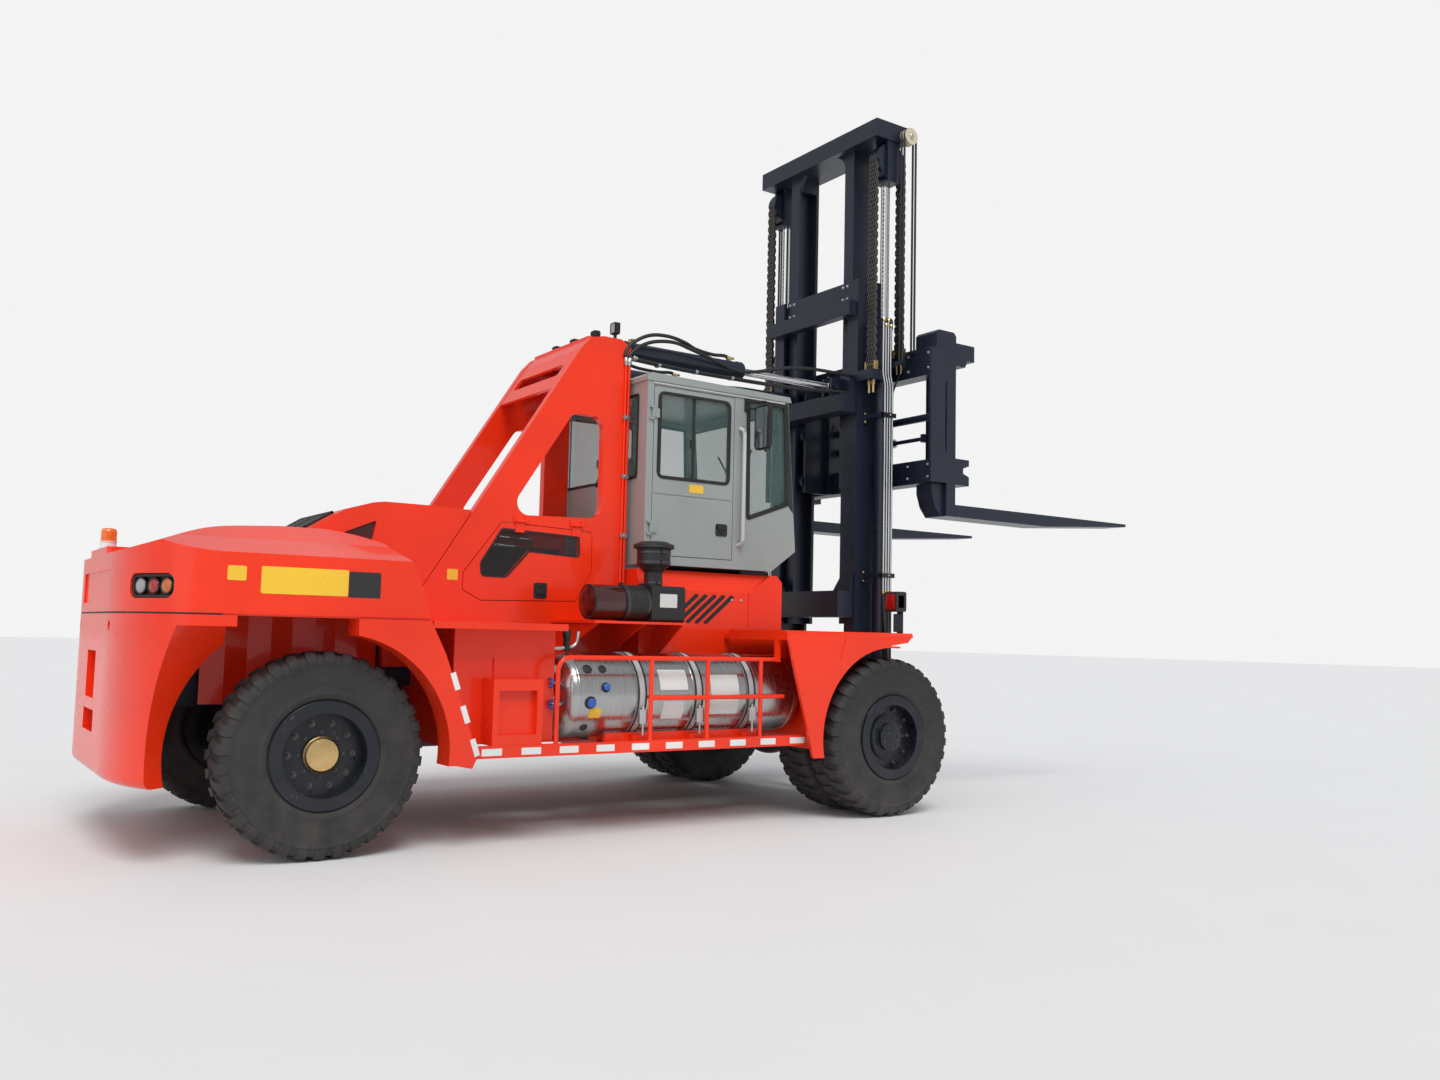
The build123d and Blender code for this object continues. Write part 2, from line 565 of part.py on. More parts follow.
# rear mudguards with the deck boxes behind the steered wheels
well_r = 810
deck_low = rail_z + rail_h
blade = [(rear_axle_x + 140, deck_z), (rear_axle_x + 640, deck_z), (rear_axle_x + 760, 1360), (rear_axle_x + 1020, rail_z + 20),
         (rear_axle_x + 980, 575), (rear_axle_x + 860, 600), (rear_axle_x + 140, 600)]
deck_rear_x = rear_axle_x + 660
deck_front_x = -3150
deck_wall_y = 1440
guard = side_cut(blade, 1430, deck_half)
guard -= cross_rod(rear_axle_x, 1400, deck_half + 10, wheel_z, well_r)
guard += block(deck_rear_x, deck_front_x, portal_half, deck_half - 4, deck_z - 50, deck_z)
guard += block(rear_axle_x + 900, rear_axle_x + 930, portal_half, deck_wall_y, 700, deck_z - 40)
guard += block(rear_axle_x + 920, deck_front_x, deck_wall_y - 60, deck_wall_y, deck_low, deck_z - 40)
# pressed panel and step box
guard -= block(rear_axle_x + 970, rear_axle_x + 1210, deck_wall_y - 14, deck_wall_y + 5, deck_low + 30, 1347)
step_rear_x = -3720
guard += block(step_rear_x, -3330, deck_wall_y - 20, deck_half - 20, deck_low, 1195)
guard -= block(step_rear_x + 45, -3375, deck_half - 75, deck_half, 800, 1115)
guard += block(rear_axle_x + 900, -3890, frame_half, portal_half, 1000, 1100)
save("rear_deck_left", guard)
save("rear_deck_right", flip(guard))

# front fenders: outer skirt, arch liner, top plate and inner wall
liner_r = 780
fender_in = cab_half + 85
fender_rear_x = -1180
fender_tip_x = 450
tip_side_x = 247
edge_z = deck_z - 26
skirt = [(fender_rear_x, edge_z), (tip_side_x, edge_z), (tip_side_x - 60, edge_z - 58), (-149, 1468), (-700, 540), (-880, 540)]
fender = side_cut(skirt, fender_half - 30, fender_half) - cross_rod(0, 900, fender_half + 10, wheel_z, liner_r)
top = [(fender_in, deck_z), (fender_half - 34, deck_z), (fender_half, edge_z), (fender_half, edge_z - 14), (fender_in, edge_z - 14)]
tip_plan = [(fender_rear_x, fender_in), (fender_tip_x, fender_in), (fender_tip_x, 1480), (tip_side_x, fender_half),
            (fender_rear_x, fender_half)]
fender += end_cut(top, fender_rear_x, fender_tip_x) & plan_cut(tip_plan, 1400, deck_z + 5)
liner = cross_rod(0, fender_in, fender_half, wheel_z, liner_r + 15)
liner -= cross_rod(0, fender_in - 5, fender_half + 5, wheel_z, liner_r)
fender += liner & side_cut([(-900, 600), (-300, 600), (150, deck_z - 10), (-900, deck_z - 10)], fender_in, fender_half)
fender += block(base_front_x, -110, frame_half, fender_in, deck_z - 40, deck_z)
fender += block(base_front_x, base_front_x + 30, frame_half, fender_in, frame_top, deck_z)
fender += block(-140, -110, frame_half, fender_in, frame_top, deck_z)
fender += block(base_front_x, -110, fender_in - 30, fender_in, frame_top, deck_z)
fender += block(fender_rear_x, fender_rear_x + 40, cab_half, fender_half, deck_z - 80, deck_z - 40)
# seam of the skirt
fender -= side_cut([(-535, edge_z + 5), (-527, edge_z + 5), (-602, 1355), (-610, 1355)], fender_half - 6, fender_half + 5)
save("front_fender_left", fender)
save("front_fender_right", flip(fender))

# lower side rails between the mudguards, with their outriggers
bar_y1 = deck_half - 10
bar_end_x = -900
outrigger_x = (-2700, -1300)
rails = block(rear_axle_x + 1020, bar_end_x, bar_y1 - 60, bar_y1, rail_z, deck_low)
for x in outrigger_x:
    rails += block(x, x + 60, frame_half, bar_y1 - 60, rail_z, deck_low - 25)
save("side_rails", pair(rails))

# guard cage of the gas tank, standing on the right-hand rail
cage_y = -bar_y1 + 25
cage_top = 1355
cage_r = 18
cage_rear_x = -3209
cage_front_x = -1170
cage = bent_bar([(cage_rear_x, deck_low), (cage_rear_x, cage_top), (cage_front_x, cage_top)], cage_y, 100, cage_r)
CAGE_BARS = [(-2400, deck_low, -2400, cage_top), (-1870, deck_low, -1870, cage_top), (-1340, deck_low, -1340, cage_top),
             (-2400, 1049, -1100, 1049)]
for x0, z0, x1, z1 in CAGE_BARS:
    cage += rod((x0, cage_y, z0), (x1, cage_y, z1), cage_r)
cage += block(cage_front_x - 20, cage_front_x + 20, cage_y - 20, cage_y + 20, cage_top - 20, deck_z - 80)
save("tank_cage", cage)

# gas tank on the right, with its straps and cradle beam
tank_in = cab_half + 65
tank_out = deck_half - 85
tank_r = (tank_out - tank_in) / 2
tank_y = -(tank_in + tank_out) / 2
tank_z = deck_low + tank_r + 12
TANK_X = (-2985, -940)
tank = rod((TANK_X[0], tank_y, tank_z), (TANK_X[1], tank_y, tank_z), tank_r)
dome = scale(Sphere(tank_r), by=(0.5, 1, 1))
for x in TANK_X:
    tank += Pos(x, tank_y, tank_z) * dome
save("gas_tank", tank)
strap_t = 10
cradle_z = deck_low - 25
straps = block(outrigger_x[0], outrigger_x[1] + 60, tank_y - 70, tank_y + 70, cradle_z, tank_z - tank_r + 20)
straps += block(outrigger_x[0], outrigger_x[1] + 60, tank_y - 200, tank_y - 170, cradle_z, cradle_z + 75)
STRAP_X = [-2450, -1920, -1400]
for x in STRAP_X:
    straps += rod((x - 40, tank_y, tank_z), (x + 40, tank_y, tank_z), tank_r + strap_t)
    straps += block(x - 40, x + 40, tank_y - 280, tank_y + 280, cradle_z, cradle_z + 60)
straps -= rod((TANK_X[0], tank_y, tank_z), (TANK_X[1], tank_y, tank_z), tank_r + 0.2)
save("tank_straps", straps)

# left side: hydraulic tank, steps and walkway up to the cab
oil_in = cab_half + 20
oil = block(-2870, -1750, oil_in, bar_y1 - 70, cradle_z, 1480)
save("hydraulic_tank", fillet(oil.edges().filter_by(Axis.X), 40))
steps = block(deck_front_x, fender_rear_x, cab_half, deck_half - 10, deck_z - 40, deck_z)
steps += block(deck_front_x, portal_front_x, portal_half, cab_half, deck_z - 40, deck_z)
for x in (-1640, -1200):
    steps += block(x, x + 20, 1180, deck_half - 10, deck_low, deck_z - 40)
for z, y in ((780, 1600), (1060, 1540), (1330, 1480)):
    steps += block(-1630, -1190, y - 230, y + 40, z, z + 30)
save("cab_steps", steps)

# air cleaner on its bracket, right side beside the cab base: a canister, a
# filter drum, a boxy outlet, and the intake stack with its rain cap
filter_r = 148
filter_y = -(cab_half + 330)
shelf_z = 1640
filter_z = shelf_z + filter_r
drum_x = -2465
box_x = -2235
stack_x = -2140
body = rod((-2745, filter_y, filter_z), (drum_x + 5, filter_y, filter_z), filter_r - 8)
body += rod((drum_x, filter_y, filter_z), (box_x + 5, filter_y, filter_z), filter_r)
outlet = block(box_x, -1915, filter_y - filter_r, filter_y + filter_r, shelf_z, filter_z + filter_r)
body += fillet(outlet.edges().filter_by(Axis.X), 38)
STACK = [(0, 1900), (76, 1900), (76, 2045), (110, 2085), (138, 2110), (138, 2236), (168, 2246), (168, 2274), (110, 2300), (0, 2304)]
stack = revolve(Plane.XZ * make_face(Polyline(*STACK, close=True)), axis=Axis.Z)
save("air_cleaner", body + Pos(stack_x, filter_y, 0) * stack)
shelf_out = filter_y - 170
shelf_x0 = -2765
shelf_x1 = -1895
shelf = block(shelf_x0, shelf_x1, shelf_out, -cab_half, shelf_z - 20, shelf_z)
shelf += block(shelf_x0, portal_front_x, -cab_half, -portal_half, shelf_z - 20, shelf_z)
shelf += block(-2725, box_x - 10, filter_y - 8, filter_y + 8, shelf_z, shelf_z + 20)
shelf -= rod((shelf_x0 - 5, filter_y, filter_z), (box_x, filter_y, filter_z), filter_r + 0.2)
for x, y in ((-2725, -portal_half), (-2295, -portal_half), (-1935, -cab_half)):
    gusset = [(y, shelf_z - 20), (filter_y - 140, shelf_z - 20), (y, shelf_z - 330)]
    shelf += end_cut(gusset, x, x + 15)
save("cleaner_bracket", shelf)

# outer mast: two channels, cross beams, pivot ears, tilt lugs, cylinder feet
out_y0 = 525
out_y1 = 680
flange_t = 35
web_t = 45
out_low = 350
eye_r = 60
mast_front_x = mast_rear_x + mast_depth
outer = block(mast_rear_x, mast_front_x, out_y0, out_y1, out_low, outer_top_z)
outer -= block(mast_rear_x + flange_t, mast_front_x - flange_t, out_y0 - 5, out_y1 - web_t, out_low - 5, outer_top_z + 5)
OUTER_BEAMS = [(440, 380, 560), (300, 1750, 2010), (300, 3790, tilt_z - eye_r - 25), (400, 4780, 4930)]
for x, z0, z1 in OUTER_BEAMS:
    outer += block(x, mast_rear_x, 0, out_y1 - 20, z0, z1)
# gussets that tie the lower beam to the channels
outer += end_cut([(out_y1 - 20, 2005), (out_y0 - 130, 2005), (out_y0, 2170), (out_y1 - 20, 2170)], 455, mast_rear_x)
ear_y0 = lug_y1 + gap
outer += block(pivot_x - 60, mast_rear_x, ear_y0, ear_y0 + 80, pivot_z - 90, pivot_z + 90)
outer += block(440, mast_rear_x, ear_y0, out_y1 - 20, pivot_z - 90, pivot_z + 90)
outer += cross_rod(pivot_x, lug_y0, ear_y0 + 10, pivot_z, 45)
mast_pin_x = 330
for y in (tilt_y - eye_half - 37, tilt_y + eye_half + gap):
    outer += block(mast_pin_x - 50, 420, y, y + 30, tilt_z - 90, tilt_z + 90)
outer += block(420, mast_rear_x, lug_in, out_y1 - 20, tilt_z - 90, tilt_z + 90)
for y in (lug_in - 20, tilt_y + eye_half + gap + 10):
    outer += cross_rod(mast_pin_x, y, y + 40, tilt_z, tilt_pin_r)
outer += block(mast_rear_x + 140, mast_front_x - 60, out_y1, lift_y + 90, 420, 500)
anchor_z = 4200
outer += block(480, 640, out_y1, 905, anchor_z - 100, anchor_z)
save("outer_mast", pair(outer))

barrel_r = 85
rod_r = 45
barrel_top = 4740
barrel = post(lift_x, lift_y, 500, barrel_top, barrel_r) - post(lift_x, lift_y, 1300, barrel_top + 5, rod_r + 6)
barrel += block(660, 800, out_y1, lift_y - barrel_r + 4, 4500, 4600)
save("lift_cylinders", pair(barrel))

# inner mast: two channels nested in the outer ones, top beam, chain sheaves
in_y0 = 375
in_y1 = 515
in_x0 = mast_rear_x + flange_t + 30
in_x1 = mast_front_x - flange_t - 8
in_low = 1690
beam_low = inner_top_z - 180
mid_x = (in_x0 + in_x1) / 2
inner = block(in_x0, in_x1, in_y0, in_y1, in_low, beam_low)
inner -= block(in_x0 + flange_t, in_x1 - flange_t, in_y0 - 5, in_y1 - 40, in_low - 5, beam_low - 150)
inner += block(mast_rear_x - 20, mast_front_x + 10, 0, 946, beam_low, inner_top_z)
for z0, z1 in ((4960, 5170), (1760, 1960)):
    inner += block(in_x0 - 25, in_x0 + 5, 0, in_y1, z0, z1)
# hollowed gussets between the channels and the top beam
knee = 150
curve = cross_rod(0, -5, 45, 0, knee)
gusset = block(-knee, 0, 0, 40, -knee, 0) - Pos(-knee, 0, -knee) * curve
inner += Pos(in_x0 + 40, in_y0, beam_low) * (Rot(0, 0, 90) * gusset)
slide_mid = mast_rear_x + mast_depth / 2
inner += cross_rod(slide_mid, in_y1, out_y1 - web_t - 10, 1860, mast_depth / 2 - flange_t - 0.8)
# crosshead on the rod end, with the chain sheave between its cheeks
sheave_r = 170
sheave_z = beam_low - sheave_r - 40
head_z = sheave_z - sheave_r - 40
chain_y0 = 775
chain_y1 = 897
inner += block(650, 810, chain_y0 - 32, chain_y1 + 34, head_z, head_z + 30)
for y0 in (chain_y0 - 32, chain_y1 + 6):
    inner += block(650, 810, y0, y0 + 28, head_z, beam_low)
inner += cross_rod(lift_x, chain_y0 - 32, chain_y1 + 30, sheave_z, 32)
inner += cross_rod(lift_x, chain_y0, chain_y1, sheave_z, sheave_r)
chain_t = 28
loop = cross_rod(lift_x, chain_y0, chain_y1, sheave_z, sheave_r + chain_t)
loop -= cross_rod(lift_x, chain_y0 - 5, chain_y1 + 5, sheave_z, sheave_r - 1)
inner += loop & block(0, 2000, 700, 1000, sheave_z, sheave_z + 400)
pulley_x = mast_front_x - 10
pulley_z = inner_top_z - 120
inner += cross_rod(pulley_x, 940, 1040, pulley_z, 18)
save("inner_mast", pair(inner))
save("lift_rods", pair(post(lift_x, lift_y, 2700, head_z, rod_r)))
# two-grooved hose pulley
PULLEY = [(18 + pin_gap, -40), (85, -40), (85, -36), (66, -30), (66, -12), (85, -4), (85, 4), (66, 12), (66, 30), (85, 36),
          (85, 40), (18 + pin_gap, 40)]
pulley = revolve(Plane.XZ * make_face(Polyline(*PULLEY, close=True)), axis=Axis.Z)
save("hose_pulleys", pair(Pos(pulley_x, 995, pulley_z) * (Rot(90, 0, 0) * pulley)))

chain_rear_x = lift_x - sheave_r - chain_t
chain_front_x = lift_x + sheave_r
clevis_z = 4380
save("chain_rear", pair(block(chain_rear_x, chain_rear_x + chain_t, chain_y0, chain_y1, anchor_z, sheave_z)))
save("chain_front", pair(block(chain_front_x, chain_front_x + chain_t, chain_y0, chain_y1, clevis_z, sheave_z)))

# carriage: two bars, end plates, roller brackets that run in the inner mast
car_x0 = mast_front_x + 70
car_x1 = car_x0 + 180
car_half = 1320
car_top = 4430
car_low = 3080
car = block(car_x0, car_x1, 0, car_half, 4150, car_top) + block(car_x0, car_x1, 0, car_half, car_low, 3310)
PLATE = [(car_x0 - 60, car_low), (car_x1, car_low), (car_x1, 3310), (car_x1 - 45, 3420), (car_x1 - 45, 4060),
         (car_x1, 4150), (car_x1, 4400), (car_x0 - 60, 4400)]
for y in (200, 1290):
    car += side_cut(PLATE, y, y + 30)
bracket_y0 = in_y0 - 100
car += block(in_x0 + 60, car_x0 + 20, bracket_y0, bracket_y0 + 40, car_low, 4300)
for z in (3200, 3700, 4190):
    car += cross_rod(mid_x, bracket_y0 + 30, in_y1 - 48, z, (in_x1 - in_x0) / 2 - flange_t - 0.8)
car += block(chain_front_x - 10, car_x0 + 10, chain_y0 - 10, chain_y1 + 10, clevis_z - 40, clevis_z)
spread_x = car_x0 + 90
spread_z = 3540
car += cross_rod(car_x0 + 60, 0, 1300, 3740, 37)
car += cross_rod(spread_x, 40, 650, spread_z, 42)
car -= cross_rod(spread_x, 55, 660, spread_z, 28)
save("carriage", pair(car))

# hook-type forks, each pushed by the rod of its spreading cylinder; the lugs on
# the shank take clamp-on tools
shank_x0 = car_x1 + gap
shank_x1 = shank_x0 + 125
heel_z = fork_top_z - fork_thick
hook_x = car_x0 + 40
fork = [(shank_x0, heel_z), (2600, heel_z), (fork_tip_x, fork_top_z - 30), (fork_tip_x, fork_top_z), (shank_x1, fork_top_z),
        (shank_x1, 3080), (1452, 3080), (1452, 3170), (1370, 3200), (1370, 3250), (1452, 3280), (1452, 3340),
        (shank_x1, 3340), (shank_x1, 4270), (1390, 4270), (1420, 4340), (1520, 4340), (1520, 4500), (shank_x1, 4500),
        (shank_x1, 4565), (shank_x1 - 35, 4600), (hook_x + 30, 4600), (hook_x, 4570), (hook_x, car_top + 0.8),
        (shank_x0, car_top + 0.8)]
lower_hook = [(shank_x0 + 5, 2755), (car_x1 - 30, 2755), (car_x1 - 110, 2850), (car_x0 + 25, 2980),
              (car_x0 + 25, car_low - gap), (shank_x0 + 5, car_low - gap)]
for side, s in (("right", -1), ("left", 1)):
    y0 = s * fork_y - fork_width / 2
    solid = side_cut(fork, y0, y0 + fork_width)
    solid += side_cut(lower_hook, y0 + 40, y0 + fork_width - 40)
    solid += cross_rod(spread_x, s * 470, s * (fork_y - 60), spread_z, 20)
    solid += Pos(0, s * (fork_y - 60), 0) * block(spread_x - 40, shank_x0, -20, 20, spread_z - 40, spread_z + 40)
    save("fork_" + side, solid)

# tilt cylinders between portal and mast
neck_x = portal_front_x + 10
barrel_end_x = -790
tilt_r = 82
shaft_r = 36
tilt = rod((neck_x, tilt_y, tilt_z), (barrel_end_x, tilt_y, tilt_z), tilt_r)
tilt += rod((tilt_pin_x, tilt_y, tilt_z), (neck_x, tilt_y, tilt_z), shaft_r)
tilt += cross_rod(tilt_pin_x, tilt_y - eye_half, tilt_y + eye_half, tilt_z, eye_r)
tilt -= cross_rod(tilt_pin_x, tilt_y - 50, tilt_y + 50, tilt_z, tilt_pin_r + pin_gap)
tilt -= rod((-2000, tilt_y, tilt_z), (barrel_end_x - 60, tilt_y, tilt_z), shaft_r + gap)
tilt -= rod((-1500, tilt_y, tilt_z), (barrel_end_x + 5, tilt_y, tilt_z), shaft_r + pin_gap)
save("tilt_barrels", pair(tilt))
shaft = rod((-1380, tilt_y, tilt_z), (mast_pin_x, tilt_y, tilt_z), shaft_r)
shaft += cross_rod(mast_pin_x, tilt_y - eye_half, tilt_y + eye_half, tilt_z, eye_r)
shaft -= cross_rod(mast_pin_x, tilt_y - 50, tilt_y + 50, tilt_z, tilt_pin_r + pin_gap)
save("tilt_rods", pair(shaft))

# lamps: four on the portal, a beacon on the tail, marker lamps on the fenders
lamps = Part()
lamp_x = tilt_pin_x + 5
for y in (200, portal_half - 40):
    glass_box = fillet(Box(46, 96, 104).edges().filter_by(Axis.X), 18)
    lamp = Pos(lamp_x, y, portal_top_z + 95) * glass_box
    lamp += block(lamp_x - 9, lamp_x + 9, y - 14, y + 14, portal_top_z, portal_top_z + 50)
    lamps += pair(lamp)
save("portal_lamps", lamps)
beacon_x = rear_end_x + 62
lens = fillet(post(beacon_x, 0, pad_z + 50, pad_z + 152, 54).edges().group_by(Axis.Z)[-1], 16)
save("beacon", post(beacon_x, 0, pad_z, pad_z + 54, 60) + lens)
marker = block(418, 432, 1370, 1440, deck_z, 1850)
marker += fillet(block(300, 432, 1330, 1480, 1800, 1985).edges().filter_by(Axis.Y), 22)
save("marker_lamps", pair(marker))
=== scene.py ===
import json
from math import cos, exp, pi, radians, sin, sqrt, tan

import bmesh
import bpy
from mathutils import Matrix, Vector


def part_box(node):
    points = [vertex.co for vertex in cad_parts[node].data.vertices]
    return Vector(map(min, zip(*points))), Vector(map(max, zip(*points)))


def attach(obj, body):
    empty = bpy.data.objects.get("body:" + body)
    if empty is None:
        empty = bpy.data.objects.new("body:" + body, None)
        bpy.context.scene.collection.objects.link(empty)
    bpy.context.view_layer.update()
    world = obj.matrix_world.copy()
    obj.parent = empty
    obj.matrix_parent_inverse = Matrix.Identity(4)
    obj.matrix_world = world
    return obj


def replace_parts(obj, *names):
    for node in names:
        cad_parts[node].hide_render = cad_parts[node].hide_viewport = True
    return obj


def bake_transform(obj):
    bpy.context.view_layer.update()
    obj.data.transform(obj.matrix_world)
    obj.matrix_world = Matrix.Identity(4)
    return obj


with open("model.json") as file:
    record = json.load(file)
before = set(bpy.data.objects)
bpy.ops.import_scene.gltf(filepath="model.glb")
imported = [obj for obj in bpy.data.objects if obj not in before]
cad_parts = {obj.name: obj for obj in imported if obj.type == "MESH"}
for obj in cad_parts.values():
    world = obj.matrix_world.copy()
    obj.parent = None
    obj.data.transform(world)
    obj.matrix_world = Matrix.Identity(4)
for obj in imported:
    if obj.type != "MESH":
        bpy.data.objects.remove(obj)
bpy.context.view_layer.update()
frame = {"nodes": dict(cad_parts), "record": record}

# Heavy forklift truck, the looks. Lengths are in metres. A place is (x, y, z): x forwards from
# the front axle, y outwards from the truck's middle, z up. A shape made for the right side is
# mirrored as its points are added; pieces without a side are written with y to the left.

RIGHT, LEFT = SIDES = (-1, 1)
WORD = {RIGHT: "right", LEFT: "left"}
ALONG, OUT, UP = Vector((1, 0, 0)), Vector((0, 1, 0)), Vector((0, 0, 1))
TURN = 2 * pi
AXLE = sum(corner.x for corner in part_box("front_hub_right")) / 2


def at(x, y, z):
    """A place in the frame's own metres."""
    return Vector((x + AXLE, y, z))


def box(node):
    """Low and high corners of a CAD piece, from the front axle."""
    return [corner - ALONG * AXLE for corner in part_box(node)]


def middle(node):
    low, high = box(node)
    return (low + high) / 2


REAR_WHEEL = middle("tyre_rear_right")
REAR_AXLE, WHEEL_Z, REAR_WHEEL_Y = REAR_WHEEL.x, REAR_WHEEL.z, abs(REAR_WHEEL.y)
TYRE_HALF = box("tyre_rear_right")[1].y - REAR_WHEEL.y
FRONT_OUT_Y, FRONT_IN_Y = [-y for y in (box("tyres_front_right")[0].y + TYRE_HALF,
                                        box("tyres_front_right")[1].y - TYRE_HALF)]
CAB_HALF = abs(box("cab_base")[0].y)


# ---------------------------------------------------------------- shapes


def across(axis):
    """Two directions square to an axis and to each other."""
    first = axis.cross(UP if abs(axis.z) < 0.9 else ALONG).normalized()
    return first, axis.cross(first).normalized()


def eased(before, here, after, reach, steps):
    """A corner replaced by a curve that starts and ends at a reach from it."""
    start, end = [here + (p - here).normalized() * reach for p in (before, after)]
    turns = [k / steps for k in range(steps + 1)]
    return [start * (1 - t) ** 2 + here * 2 * t * (1 - t) + end * t ** 2 for t in turns]


def rounded(corners, radius, steps=4):
    """A closed outline in two coordinates with its corners rounded."""
    corners = [Vector(corner) for corner in corners]
    points = []
    for before, here, after in zip(corners[-1:] + corners, corners, corners[1:] + corners[:1]):
        back, ahead = before - here, after - here
        reach = min(radius / tan(back.angle(ahead) / 2), back.length * 0.49, ahead.length * 0.49)
        points += eased(before, here, after, reach, steps)
    return points


def panel(x0, z0, x1, z1, radius, steps=4):
    """A rounded rectangle."""
    return rounded([(x0, z0), (x1, z0), (x1, z1), (x0, z1)], radius, steps)


def grown(outline, reach):
    """The outline moved outwards by reach, or inwards if it is negative."""
    loop = list(zip(outline[-1:] + outline, outline, outline[1:] + outline[:1]))
    area = sum(before[0] * here[1] - here[0] * before[1] for before, here, _ in loop)
    reach = reach if area > 0 else -reach
    moved = []
    for before, here, after in loop:
        run = (Vector(after) - Vector(before)).normalized()
        moved.append(Vector(here) + Vector((run.y, -run.x)) * reach)
    return moved


def set_at(outline, depth, forwards):
    """A flat outline as places: (x, z) on the side at y, or (y, z) facing forwards at x."""
    return [Vector((depth, *p)) if forwards else Vector((p[0], depth, p[1])) for p in outline]


def pairs(*millimetres):
    """Pairs of metres from a row of millimetres."""
    return [(a / 1000, b / 1000) for a, b in zip(millimetres[::2], millimetres[1::2])]


def places(*millimetres):
    """Places in metres from a row of millimetres."""
    return [tuple(a / 1000 for a in millimetres[k:k + 3]) for k in range(0, len(millimetres), 3)]


def circle(count, radius, start=0.0):
    """Sines and cosines round a circle, for things set in a ring."""
    turns = [TURN * (k + start) / count for k in range(count)]
    return [(radius * sin(a), radius * cos(a)) for a in turns]


def linked(name, data):
    """A new object in the scene."""
    made = bpy.data.objects.new(name, data)
    bpy.context.scene.collection.objects.link(made)
    return made


